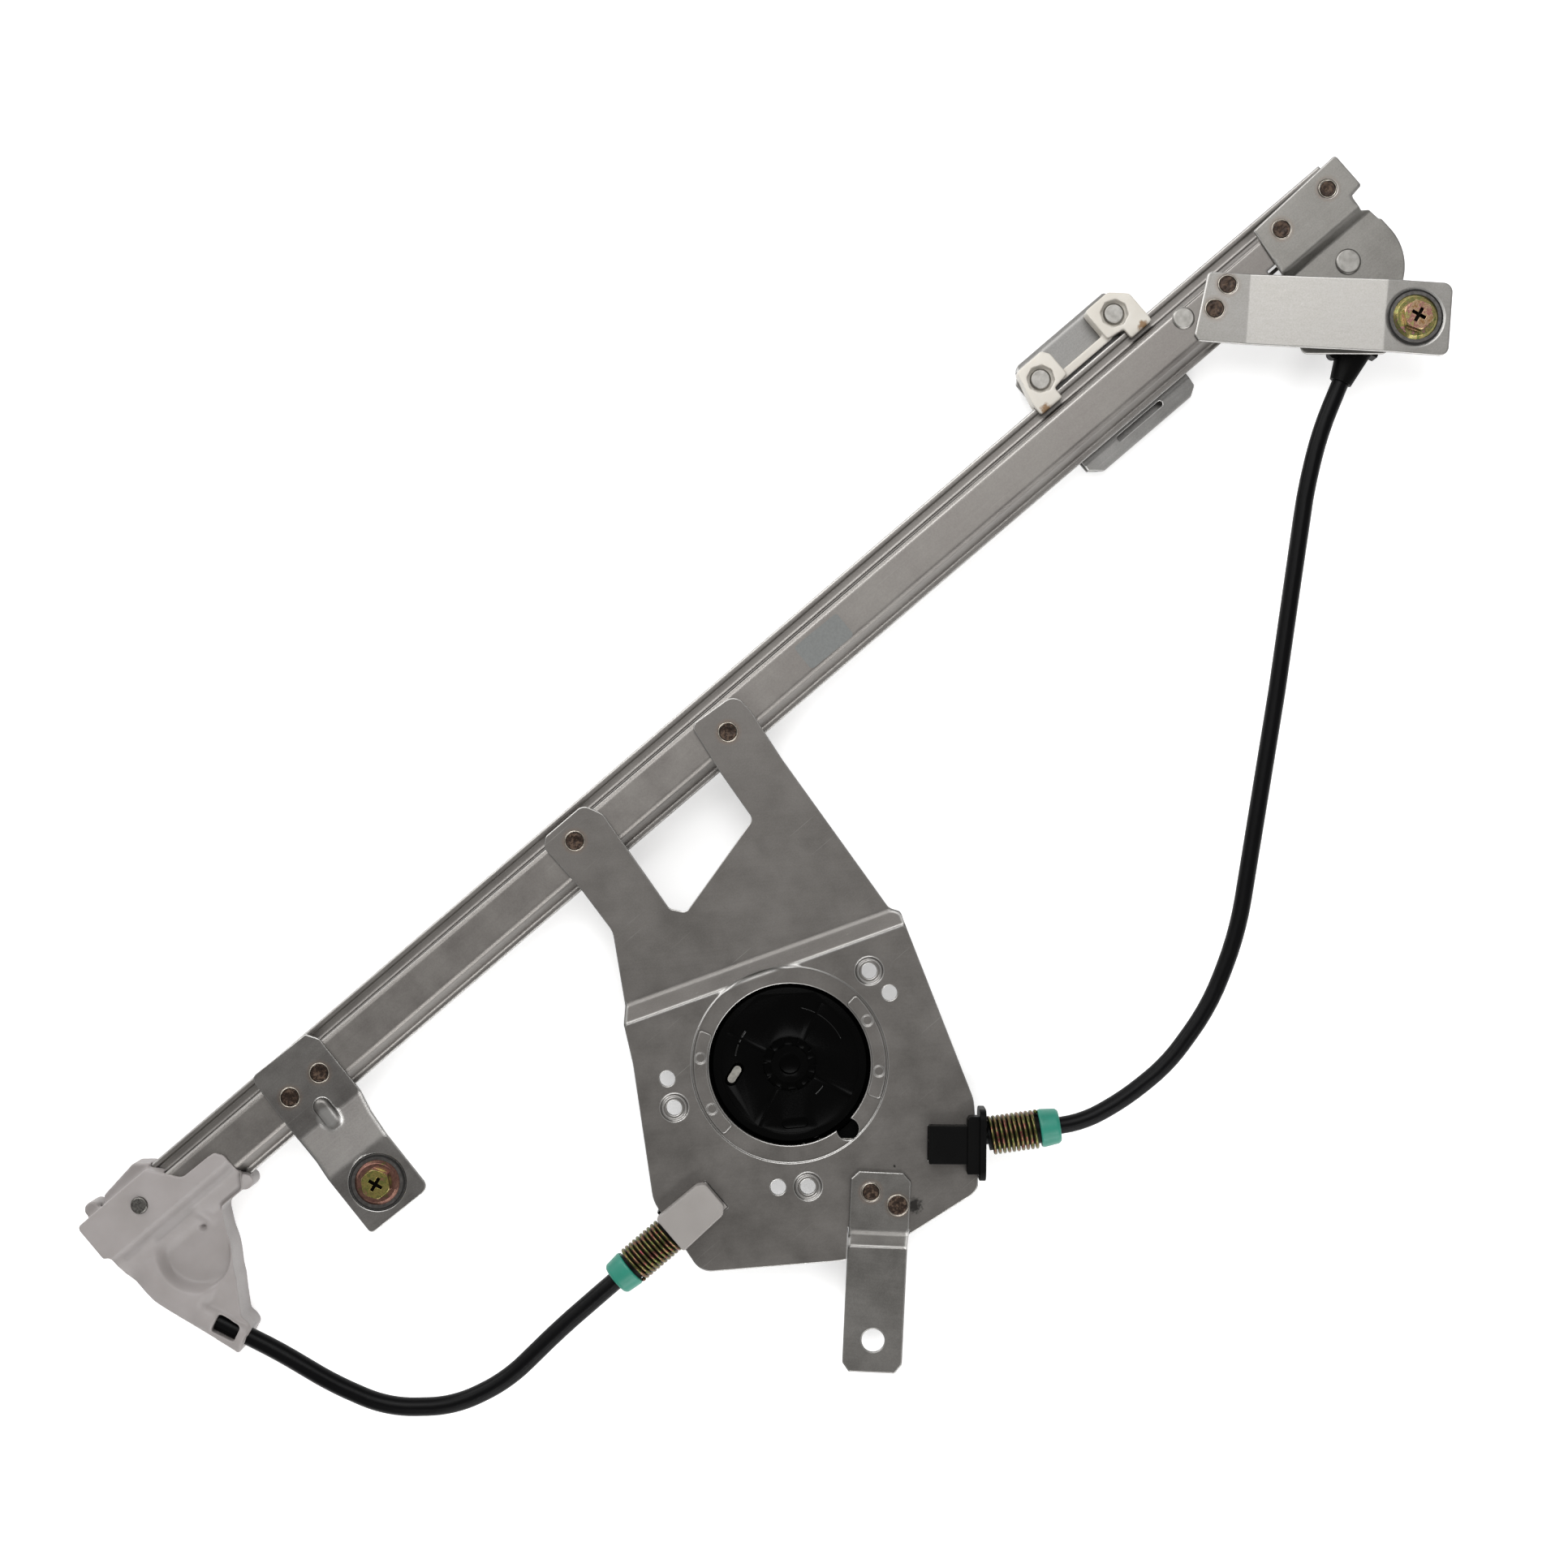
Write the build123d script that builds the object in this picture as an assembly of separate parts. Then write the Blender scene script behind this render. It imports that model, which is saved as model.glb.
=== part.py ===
from build123d import *
import os
from math import acos, atan2, cos, degrees, hypot, pi, radians, sin, tan

# Cable window regulator with one guide rail, in millimetres.
# It lies flat, with the cabin side up and the drum housing's back at z = 0.
# +X runs along the guide rail from the lower cable guide to the upper pulley.
# The origin is on the drum's axis.

# Sheet metal and general fits
SHEET = 1.5
RAIL_SHEET = 1.4
BEND = 1.0
SNUG = 0.05
SLIDE_GAP = 0.3

# Guide rail, a hat section with its web towards the cabin
RAIL_START = -236.0
RAIL_END = 371.0
RAIL_EDGE = 127.5
WEB_FRONT = 25.0
RAIL_DEPTH = 9.5
WIDE_FLANGE = 5.6
STEEP_WALL = 0.6
WEB_WIDTH = 15.7
SLOPED_WALL = 2.7
NARROW_FLANGE = 2.3
HEM_WIDTH = 2.2
WALL_CUT_START = 328.5
WALL_CUT_EDGE = RAIL_EDGE - 17.9
GUIDE_CUT_END = -211.0
GUIDE_CUT_LEVEL = 20.0

# Motor plate and its stamped seat for the drum housing
PLATE_DROP = 7.0
PLATE_BEND_ANGLE = -20.7
PLATE_BEND_DISTANCE = 42.2
SEAT_R = 37.0
SEAT_DEPTH = 1.0
OPENING_R = 30.5
COLLAR_WALL = 1.3
COLLAR_DEPTH = 1.0
PAD_INNER_R = 31.0
PAD_OUTER_R = 36.2
PAD_THICKNESS = 0.8
PAD_ANGLE = -27.8
PAD_SPREAD = 68.0
STAKE_SPREAD = 33.8
STAKE_R = 2.0
NOTCH_R = 4.2
NOTCH_DISTANCE = 32.6
NOTCH_ANGLE = -88.6

# Motor fixings round the drum
MOTOR_CIRCLE_R = 46.2
MOTOR_SCREW_ANGLES = (9.2, 159.8, 238.0)
LOCATOR_LAG = 13.9
MOTOR_HOLE_R = 2.9
BOSS_R = 5.4
BOSS_HEIGHT = 0.8

# Tab below the motor plate
TAB_START = (0.1, -52.8)
TAB_ANGLE = -133.2
TAB_LENGTH = 76.6
TAB_WIDTH = 22.6
TAB_DROP = 6.0
TAB_BEND = 23.0
TAB_HOLE = 64.4
TAB_HOLE_R = 4.3

# Brackets welded to the rail, each with a captive screw
BRACKET_RISE = 7.5
UPPER_START = (301.5, RAIL_EDGE - 12.0)
UPPER_ANGLE = -44.6
UPPER_LENGTH = 91.0
UPPER_WIDTH = 26.4
UPPER_BENDS = (17.1, 66.8)
UPPER_SCREW = 77.8
LOWER_START = (-141.2, RAIL_EDGE - 0.5)
LOWER_ANGLE = -92.0
LOWER_LENGTH = 73.3
LOWER_WIDTH = 29.6
LOWER_FOOT_WIDTH = 27.4
LOWER_BENDS = (29.6, 47.4)
LOWER_SCREW = 59.7
BEAD_WIDTH = 6.6
BEAD_LENGTH = 18.0
BEAD_HEIGHT = 2.2

# Captive screws, washers and weld nuts
THREAD_R = 3.0
SCREW_LENGTH = 20.0
NECK_R = 2.4
FLANGE_R = 8.4
FLANGE_HEIGHT = 1.3
HEX_ACROSS = 10.0
HEX_HEIGHT = 4.2
WASHER_R = 10.2
WASHER_THICKNESS = 1.2
WASHER_GAP = 0.5
WASHER_SEAT_DEPTH = 0.6
NUT_ACROSS = 13.0
NUT_HEIGHT = 5.0

# Plug welds
WELD_R = 3.4
WELD_SINK = 0.3

# Lifting cable, pulley and their plate
CABLE_R = 0.75
CABLE_LEVEL = 17.5
PULLEY_CENTRE = (354.1, RAIL_EDGE - 34.7)
PULLEY_GROOVE_R = 15.4
GROOVE_PLAY = 0.25
PULLEY_RIM_R = 17.8
PULLEY_THICKNESS = 8.0
PULLEY_SIDE_GAP = 0.4
PULLEY_HOLES = 5
PULLEY_HOLE_R = 2.6
AXLE_R = 4.0
AXLE_HEAD_R = 4.8
AXLE_HEAD_HEIGHT = 1.3
AXLE_FOOT_R = 6.0
RUNNING_FIT = 0.06
PULLEY_PLATE_DROP = 3.0

# Lower cable guide, moulded in one piece
GUIDE_EXIT = (-221.2, RAIL_EDGE - 72.3)
GUIDE_EXIT_ANGLE = -67.0
GUIDE_GROOVE_R = 19.0
GUIDE_BODY_FRONT = 21.0
GUIDE_COVER = 1.0
GUIDE_COVER_WIDTH = 7.5
GUIDE_WALL = 2.2
GUIDE_HEAD_THICKNESS = 2.0
GUIDE_HEAD_EDGE = RAIL_EDGE - 17.9
GUIDE_RIDGE_R = 6.0
GUIDE_DISH_R = 11.5
GUIDE_DISH_DEPTH = 2.0
GUIDE_RIVET = (-217.7, RAIL_EDGE - 9.1)
GUIDE_POCKET_DEPTH = 11.0

# Conduits, their ends, springs and bushes
CONDUIT_R = 3.0
CONDUIT_LEVEL = 18.0
CONDUIT_INSERT = 12.0
WIRE_HOLE_R = 1.2
LEAD_STOP = 11.0
SPRING_R = 6.7
SPRING_WIRE_R = 0.75
SPRING_PITCH = 2.1
SPRING_LENGTH = 19.6
SPRING_RUNS = 16
BUSH_LENGTH = 7.6
BUSH_R = 7.2
CAP_FRONT = 25.8
CAP_BACK = 10.5
NECK_WIDTH = 12.6
LOWER_CAP_START = (-52.5, -19.0)
LOWER_CAP_LENGTH = 22.6
UPPER_CAP_START = (20.5, -56.2)
UPPER_CAP_ANGLE = -41.0
UPPER_CAP_BLOCK = 14.2
UPPER_CAP_COLLAR = 4.6
UPPER_CAP_FLANGE = 2.4
UPPER_CONDUIT_ANGLE = -32.4
UPPER_CONDUIT_OFFSET = 2.6

# Drum housing and cable drum
HOUSING_WALL = 2.0
HOUSING_FLOOR = 3.5
HOUSING_INNER_R = 32.2
HOUSING_PAD_R = 20.0
HOUSING_PAD_HEIGHT = 1.5
HOUSING_RIBS = 12
ARM_WIDTH = 18.0
ARM_BACK = 8.0
DRUM_R = 29.4
DRUM_BACK = 4.5
DRUM_FRONT = 16.5
DRUM_PIN_R = 4.0
DRUM_GROOVES = 4
DRUM_GROOVE_PITCH = 2.4
DRUM_WRAP_R = 28.8
DRUM_DISH_DEPTH = 1.4
DRUM_RIM_WIDTH = 3.4
HUB_R = 10.6
HUB_SLOTS = 10
HUB_SLOT_INNER_R = 7.0
HUB_BORE_R = 4.0
HUB_BORE_DEPTH = 7.0
NIPPLE_DISTANCE = 21.2
NIPPLE_ANGLE = 150.3

# Carriage that carries the glass
CARRIAGE_LEFT = 230.4
CARRIAGE_LENGTH = 54.8
CARRIER_FRONT = 10.0
CARRIER_EDGE = RAIL_EDGE + 17.0
CARRIER_LIP = RAIL_EDGE - 34.7
CARRIER_LIP_FALL = 4.0
CARRIER_RETURN = 8.2
CARRIER_RETURN_BACK = 2.0
SHOE_FRONT = 20.0
SHOE_FOOT_EDGE = RAIL_EDGE - 3.7
SHOE_HEAD_EDGE = RAIL_EDGE + 15.3
SHOE_FOOT_WIDTH = 10.4
SHOE_HEAD_WIDTH = 17.4
SHOE_WINDOW_R = 5.4
SHOE_WINDOW_DEPTH = 3.0
SHOE_RIVET_R = 4.0
SHOE_RIVET_HEIGHT = 1.6
CLAMP_LENGTH = 43.0
STOP_PLAY = 3.4
CLAMP_WIDTH = 11.6
CLAMP_TOP = 22.0
CABLE_PASS_R = 1.1
NIPPLE_R = 2.2
NIPPLE_LENGTH = 6.0

# Stop rivet on the web
STOP_RIVET = (293.3, RAIL_EDGE - 10.8)
STOP_RIVET_R = 4.2
STOP_SHANK_R = 2.5

# Levels and places that follow from the sizes above
FLANGE_FRONT = WEB_FRONT - RAIL_DEPTH
ARM_FRONT = WEB_FRONT + SHEET
PLATE_FRONT = ARM_FRONT - PLATE_DROP
PLATE_BACK = PLATE_FRONT - SHEET
SEAT_BACK = PLATE_BACK - SEAT_DEPTH
BRACKET_FRONT = ARM_FRONT + BRACKET_RISE
TAB_TOP = PLATE_FRONT + SHEET
PULLEY_PLATE_FRONT = ARM_FRONT - PULLEY_PLATE_DROP
PULLEY_PLATE_BACK = PULLEY_PLATE_FRONT - SHEET
WEB_LEFT = RAIL_EDGE - WIDE_FLANGE - STEEP_WALL
WEB_RIGHT = WEB_LEFT - WEB_WIDTH
WALL_FOOT = WEB_RIGHT - SLOPED_WALL
CABLE_LINE = PULLEY_CENTRE[1] + PULLEY_GROOVE_R
CARRIAGE_RIGHT = CARRIAGE_LEFT + CARRIAGE_LENGTH
FIRST_GROOVE = (DRUM_BACK + DRUM_FRONT - (DRUM_GROOVES - 1) * DRUM_GROOVE_PITCH) / 2

UPPER_ROUTE = (
    (87.5, -91.6, 18.0),
    (108.0, -92.2, 18.0),
    (134.0, -86.0, 17.8),
    (160.0, -72.0, 17.5),
    (188.0, -48.5, 17.0),
    (225.0, -17.5, 16.6),
    (262.0, 15.0, 16.8),
    (288.0, 38.0, 17.2),
)
LOWER_ROUTE = (
    (-133.0, -19.4, 18.0),
    (-158.0, -21.2, 17.6),
    (-179.5, -15.6, 17.2),
    (-198.5, 0.0, 17.2),
    (-208.6, 20.5, 17.4),
)


def on_plan(start, angle, along=0.0, across=0.0):
    """Place in the plan, so far along a direction from start and so far to its left."""
    turn = radians(angle)
    x = start[0] + along * cos(turn) - across * sin(turn)
    y = start[1] + along * sin(turn) + across * cos(turn)
    return (x, y)


def laid(start, angle, level=0.0):
    """Placement of something drawn along X, turned to an angle at a level."""
    return Location((start[0], start[1], level), (0, 0, angle))


def upright(start, angle):
    """Plane that stands on the plan, its own X towards the angle and its own Y up."""
    turn = radians(angle)
    along = Vector(cos(turn), sin(turn), 0)
    return Plane(origin=(start[0], start[1], 0), x_dir=along, z_dir=along.cross(Vector(0, 0, 1)))


def outline(*corners):
    """Closed face through corners, each (x, y) or (x, y, corner radius)."""
    points = [(corner[0], corner[1]) for corner in corners]
    radii = [corner[2] if len(corner) > 2 else 0 for corner in corners]
    return make_face(FilletPolyline(*points, radius=radii, close=True))


def slab(face, bottom, top):
    """Flat piece with the plan shape of face between two levels."""
    return Pos(0, 0, bottom) * extrude(face, top - bottom)


def rod(centre, radius, bottom, top):
    """Upright round bar."""
    bar = Cylinder(radius, top - bottom, align=(Align.CENTER, Align.CENTER, Align.MIN))
    return Pos(centre[0], centre[1], bottom) * bar


def bar(start, angle, span, sides, levels):
    """Straight block: span along the direction, sides to its left, levels in height."""
    size = (span[1] - span[0], sides[1] - sides[0], levels[1] - levels[0])
    block = Pos(span[0], sides[0], levels[0]) * Box(*size, align=(Align.MIN, Align.MIN, Align.MIN))
    return laid(start, angle) * block


def lying_rod(start, angle, level, radius, span):
    """Round bar that lies along a direction."""
    line = Plane(origin=(0, 0, 0), x_dir=(0, 1, 0), z_dir=(1, 0, 0))
    solid = extrude(line * Circle(radius), span[1] - span[0])
    return laid(start, angle, level) * Pos(span[0], 0, 0) * solid


def bent_section(line, thickness, bend=BEND):
    """Section of a bent sheet. The line is its front side, and the sheet lies below it."""
    points = [Vector(*point) for point in line]
    legs = [(b - a).normalized() for a, b in zip(points, points[1:])]
    befores = [legs[0]] + legs
    afters = legs + [legs[-1]]
    front, back = [], []
    for i, point in enumerate(points):
        before, after = befores[i], afters[i]
        middle = (before + after).normalized()
        normal = Vector(middle.Y, -middle.X)
        depth = thickness / normal.dot(Vector(before.Y, -before.X))
        turn = before.X * after.Y - before.Y * after.X
        inner, outer = (bend, bend + thickness)
        front_r = 0 if i in (0, len(points) - 1) else (inner if turn > 0 else outer)
        back_r = 0 if i in (0, len(points) - 1) else (outer if turn > 0 else inner)
        front.append((point.X, point.Y, front_r))
        back.append((point.X + normal.X * depth, point.Y + normal.Y * depth, back_r))
    return outline(*front, *reversed(back))


def from_edge(*corners):
    """Corners or places whose second number counts from the rail's wide edge."""
    return tuple((x, RAIL_EDGE + y, *rest) for x, y, *rest in corners)


def welds_at(places, back):
    """Plug welds that fill their holes to just below the sheet's front."""
    return [rod(place, WELD_R - SNUG, back, back + SHEET - WELD_SINK) for place in places]


def weld_holes(places, back):
    """Holes for plug welds through a sheet."""
    return [rod(place, WELD_R, back - SHEET, back + 2 * SHEET) for place in places]


def tangent_from(point, centre, radius, side):
    """Touching point on a circle of a line from point, on the left (1) or right (-1) of the way there."""
    dx, dy = centre[0] - point[0], centre[1] - point[1]
    away = hypot(dx, dy)
    swing = side * acos(radius / away)
    angle = atan2(-dy, -dx) - swing
    return (centre[0] + radius * cos(angle), centre[1] + radius * sin(angle))


def angle_of(start, end):
    """Direction from one place in the plan to another, in degrees."""
    return degrees(atan2(end[1] - start[1], end[0] - start[0]))


def between(start, end):
    """Distance between two places in the plan."""
    return hypot(end[0] - start[0], end[1] - start[1])


def bend_radii(points):
    """Radius at each inner point of a conduit's route, as large as its two runs allow."""
    radii = []
    for a, b, c in zip(points, points[1:], points[2:]):
        before = Vector(*b) - Vector(*a)
        after = Vector(*c) - Vector(*b)
        half_turn = radians(before.get_angle(after)) / 2
        radii.append(0.45 * min(before.length, after.length) / tan(half_turn))
    return radii


def tube_along(points, radius):
    """Round tube along a route of straight runs joined by tangent arcs."""
    radii = bend_radii(points)
    print("bend radii", [round(value) for value in radii])
    path = FilletPolyline(*points, radius=radii)
    start = Vector(*points[0])
    section = Plane(origin=start, z_dir=Vector(*points[1]) - start) * Circle(radius)
    solid = sweep(section, path=path)
    print("volume against section times length", solid.volume / (section.area * path.length))
    return solid


# Guide rail
RAIL_LINE = (
    (WALL_FOOT - NARROW_FLANGE, FLANGE_FRONT),
    (WALL_FOOT, FLANGE_FRONT),
    (WEB_RIGHT, WEB_FRONT),
    (WEB_LEFT, WEB_FRONT),
    (WEB_LEFT + STEEP_WALL, FLANGE_FRONT),
    (RAIL_EDGE, FLANGE_FRONT),
)
RAIL_SECTION = bent_section(RAIL_LINE, RAIL_SHEET)


def across_rail(x):
    """Plane across the rail at x, its own X along +Y and its own Y up."""
    return Plane(origin=(x, 0, 0), x_dir=(0, 1, 0), z_dir=(1, 0, 0))


def make_guide_rail():
    rail = extrude(across_rail(RAIL_START) * RAIL_SECTION, RAIL_END - RAIL_START)
    hem_levels = (FLANGE_FRONT - RAIL_SHEET / 2, FLANGE_FRONT + RAIL_SHEET)
    rail += bar((0, 0), 0, (RAIL_START, RAIL_END), (RAIL_EDGE - HEM_WIDTH, RAIL_EDGE), hem_levels)
    rail -= bar((0, 0), 0, (WALL_CUT_START, RAIL_END + 1), (0, WALL_CUT_EDGE), (0, WEB_FRONT + 1))
    rail -= bar((0, 0), 0, (RAIL_START - 1, GUIDE_CUT_END), (0, WALL_CUT_EDGE), (0, GUIDE_CUT_LEVEL))
    for place in (STOP_RIVET, GUIDE_RIVET):
        rail -= rod(place, STOP_SHANK_R + SNUG, 0, WEB_FRONT + 1)
    return rail


# Motor plate
ARM_WELDS = from_edge((63.6, -17.7), (-6.2, -11.4))
PLATE_OUTLINE = (
    (66.6, 21.0, 4), (69.0, 17.0, 2), (44.0, -54.9, 14), (23.5, -82.0, 7), (-6.7, -77.7, 30),
    (-31.1, -70.0, 30), (-76.0, -37.5, 8), (-72.2, -5.6, 14), (-44.5, 38.5, 20), (-37.5, 52.0, 2),
    (-31.8, 57.2, 2),
    *from_edge(
        (-17.4, -46.3, 8), (-16.2, -27.5, 20), (-16.6, -5.9, 4), (-13.5, -3.1, 2), (4.8, -3.1, 4),
        (8.3, -10.5, 4), (4.2, -53.5, 2.5), (8.0, -58.6, 2.5), (49.6, -48.4, 2.5), (51.6, -27.5, 20),
        (54.6, -6.9, 3), (75.0, -8.5, 5), (75.2, -17.5, 10), (72.4, -38.5, 30),
    ),
)


def cap_notches():
    """Room in the motor plate for the necks of the two conduit caps."""
    wide = NECK_WIDTH / 2 + 4 * SNUG
    levels = (PLATE_BACK - 1, PLATE_FRONT + SHEET)
    lower = bar(LOWER_CAP_START, 180, (-4 * SNUG, 2 * LOWER_CAP_LENGTH), (-wide, wide), levels)
    upper = bar(UPPER_CAP_START, UPPER_CAP_ANGLE, (-4 * SNUG, 60), (-wide, wide), levels)
    flange = bar(UPPER_CAP_START, UPPER_CAP_ANGLE, (UPPER_CAP_BLOCK + UPPER_CAP_COLLAR - 4 * SNUG, 60), (-16, 16), levels)
    return lower + upper + flange


def tab_notch():
    """Room in the motor plate's edge where the tab drops past it."""
    half = TAB_WIDTH / 2 + 4 * SNUG
    levels = (PLATE_BACK - 1, PLATE_FRONT + SHEET)
    return bar(TAB_START, TAB_ANGLE, (TAB_BEND - SHEET, TAB_LENGTH), (-half, half), levels)


def make_motor_plate():
    bend = upright((0, 0), PLATE_BEND_ANGLE - 90)
    far = 200.0
    line = (
        (-far, ARM_FRONT),
        (-PLATE_BEND_DISTANCE, ARM_FRONT),
        (-PLATE_BEND_DISTANCE + PLATE_DROP, PLATE_FRONT),
        (far, PLATE_FRONT),
    )
    sheet = extrude(bend * bent_section(line, SHEET), far, both=True)
    plate = sheet & slab(outline(*PLATE_OUTLINE), 0, 2 * ARM_FRONT)
    plate += rod((0, 0), SEAT_R + SHEET, SEAT_BACK, PLATE_BACK) & slab(outline(*PLATE_OUTLINE), 0, ARM_FRONT)
    plate -= rod((0, 0), SEAT_R, PLATE_FRONT - SEAT_DEPTH, ARM_FRONT)
    plate += rod((0, 0), OPENING_R + COLLAR_WALL, SEAT_BACK - COLLAR_DEPTH, SEAT_BACK + SHEET / 2)
    plate -= rod((0, 0), OPENING_R, 0, ARM_FRONT)
    plate -= rod(on_plan((0, 0), NOTCH_ANGLE, NOTCH_DISTANCE), NOTCH_R, 0, ARM_FRONT)
    for angle in MOTOR_SCREW_ANGLES:
        centre = on_plan((0, 0), angle, MOTOR_CIRCLE_R)
        boss = Cone(BOSS_R, BOSS_R - BOSS_HEIGHT, BOSS_HEIGHT, align=(Align.CENTER, Align.CENTER, Align.MIN))
        plate += Pos(centre[0], centre[1], PLATE_FRONT) * boss
        locator = on_plan((0, 0), angle - LOCATOR_LAG, MOTOR_CIRCLE_R)
        for hole in (centre, locator):
            plate -= rod(hole, MOTOR_HOLE_R, 0, ARM_FRONT)
    plate -= cap_notches() + tab_notch()
    return plate - weld_holes(ARM_WELDS, WEB_FRONT)


def make_housing_retainers():
    """Two arc pads in the seat that hold the drum housing's rim, each with two stakes."""
    pads = []
    seat = PLATE_FRONT - SEAT_DEPTH
    for middle in (PAD_ANGLE, PAD_ANGLE + 180):
        ring = Circle(PAD_OUTER_R) - Circle(PAD_INNER_R)
        reach = 2 * PAD_OUTER_R
        half = radians(PAD_SPREAD / 2)
        sector = make_face(Polyline((0, 0), (reach * cos(half), -reach * sin(half)),
                                    (reach * cos(half), reach * sin(half)), close=True))
        face = Rot(0, 0, middle) * (ring & sector)
        face = fillet(face.vertices(), 1.2)
        pad = slab(face, seat, seat + PAD_THICKNESS)
        for side in (-1, 1):
            place = on_plan((0, 0), middle + side * STAKE_SPREAD / 2, (PAD_INNER_R + PAD_OUTER_R) / 2)
            pad -= rod(place, STAKE_R, seat + PAD_THICKNESS / 2, ARM_FRONT)
        pads.append(pad)
    return pads


# Tab, a joggled strip spot welded to the motor plate
TAB_WELDS = ((-7.8, -55.9), (-3.4, -66.2))


def make_tab_bracket():
    half = TAB_WIDTH / 2
    line = (
        (0, TAB_TOP),
        (TAB_BEND, TAB_TOP),
        (TAB_BEND + TAB_DROP, TAB_TOP - TAB_DROP),
        (TAB_LENGTH, TAB_TOP - TAB_DROP),
    )
    strip = extrude(upright(TAB_START, TAB_ANGLE) * bent_section(line, SHEET), half, both=True)
    plan = outline(
        (0, -half + 3), (3, -half), (TAB_LENGTH - 3.4, -half), (TAB_LENGTH, -half + 2.6),
        (TAB_LENGTH, half - 2.6), (TAB_LENGTH - 3.4, half), (3, half), (0, half - 3),
    )
    tab = strip & (laid(TAB_START, TAB_ANGLE) * slab(plan, 0, ARM_FRONT))
    tab -= rod(on_plan(TAB_START, TAB_ANGLE, TAB_HOLE), TAB_HOLE_R, 0, ARM_FRONT)
    return tab - weld_holes(TAB_WELDS, PLATE_FRONT)


# Brackets on the rail
UPPER_WELDS = from_edge((313.8, -12.0), (304.3, -15.8))
LOWER_WELDS = from_edge((-134.9, -15.2), (-149.1, -15.0))
UPPER_SCREW_PLACE = on_plan(UPPER_START, UPPER_ANGLE, UPPER_SCREW)
LOWER_SCREW_PLACE = on_plan(LOWER_START, LOWER_ANGLE, LOWER_SCREW)
SCREW_PLACES = (UPPER_SCREW_PLACE, LOWER_SCREW_PLACE)
WASHER_BACK = BRACKET_FRONT - WASHER_SEAT_DEPTH
WASHER_FRONT = WASHER_BACK + WASHER_THICKNESS


def raised_strip(start, angle, length, bends, width):
    """Strip that lies on the web, slopes up between its bends and ends flat."""
    line = (
        (-10, ARM_FRONT),
        (bends[0], ARM_FRONT),
        (bends[1], BRACKET_FRONT),
        (length, BRACKET_FRONT),
    )
    return extrude(upright(start, angle) * bent_section(line, SHEET, 3 * BEND), width, both=True)


def seat_washer(bracket, place):
    """Sink a round seat for the washer and drill the screw's hole."""
    bracket += rod(place, WASHER_R + WASHER_GAP + SHEET, BRACKET_FRONT - SHEET - WASHER_SEAT_DEPTH,
                   BRACKET_FRONT - SHEET)
    bracket -= rod(place, WASHER_R + WASHER_GAP, WASHER_BACK, BRACKET_FRONT + 1)
    return bracket - rod(place, THREAD_R + WASHER_GAP, 0, BRACKET_FRONT + 1)


def make_upper_bracket():
    half = UPPER_WIDTH / 2
    strip = raised_strip(UPPER_START, UPPER_ANGLE, UPPER_LENGTH, UPPER_BENDS, UPPER_WIDTH)
    plan = outline(
        (-2.3, -half + 2.2, 1), (-0.6, -half, 1), (UPPER_LENGTH, -half - 0.4, 3.5),
        (UPPER_LENGTH, half + 0.4, 3.5), (1.2, half - 0.2, 2),
    )
    bracket = strip & (laid(UPPER_START, UPPER_ANGLE) * slab(plan, 0, 2 * BRACKET_FRONT))
    bracket = seat_washer(bracket, UPPER_SCREW_PLACE)
    return bracket - weld_holes(UPPER_WELDS, WEB_FRONT)


def make_lower_bracket():
    half, foot = LOWER_WIDTH / 2, LOWER_FOOT_WIDTH / 2
    strip = raised_strip(LOWER_START, LOWER_ANGLE, LOWER_LENGTH, LOWER_BENDS, LOWER_WIDTH)
    plan = outline(
        (0, -half + 0.4, 3), (0, half - 3), (4.5, half, 2), (LOWER_BENDS[0] - 1, half, 3),
        (LOWER_BENDS[0] + 8, foot, 6), (LOWER_LENGTH, foot, 3.5), (LOWER_LENGTH, -foot, 2),
        (LOWER_BENDS[0] + 10, -foot, 6), (LOWER_BENDS[0] - 1, -half, 3),
    )
    bracket = strip & (laid(LOWER_START, LOWER_ANGLE) * slab(plan, 0, 2 * BRACKET_FRONT))
    bead = laid(LOWER_START, LOWER_ANGLE) * Pos(LOWER_BENDS[0] + 1, 0, 0)
    pod = slab(SlotOverall(BEAD_LENGTH, BEAD_WIDTH), ARM_FRONT - SHEET / 2, ARM_FRONT + BEAD_HEIGHT)
    pod = fillet(pod.faces().sort_by(Axis.Z)[-1].edges(), 0.85 * BEAD_HEIGHT)
    bracket += bead * pod
    bracket = seat_washer(bracket, LOWER_SCREW_PLACE)
    return bracket - weld_holes(LOWER_WELDS, WEB_FRONT)


def make_plug_welds():
    welds = welds_at(ARM_WELDS + UPPER_WELDS + LOWER_WELDS + PULLEY_PLATE_WELDS, WEB_FRONT)
    return welds + welds_at(TAB_WELDS, PLATE_FRONT)


# Captive screws
NUT_TOP = BRACKET_FRONT - SHEET - WASHER_SEAT_DEPTH
NECK_LENGTH = WASHER_FRONT - NUT_TOP + NUT_HEIGHT + SLIDE_GAP


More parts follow.
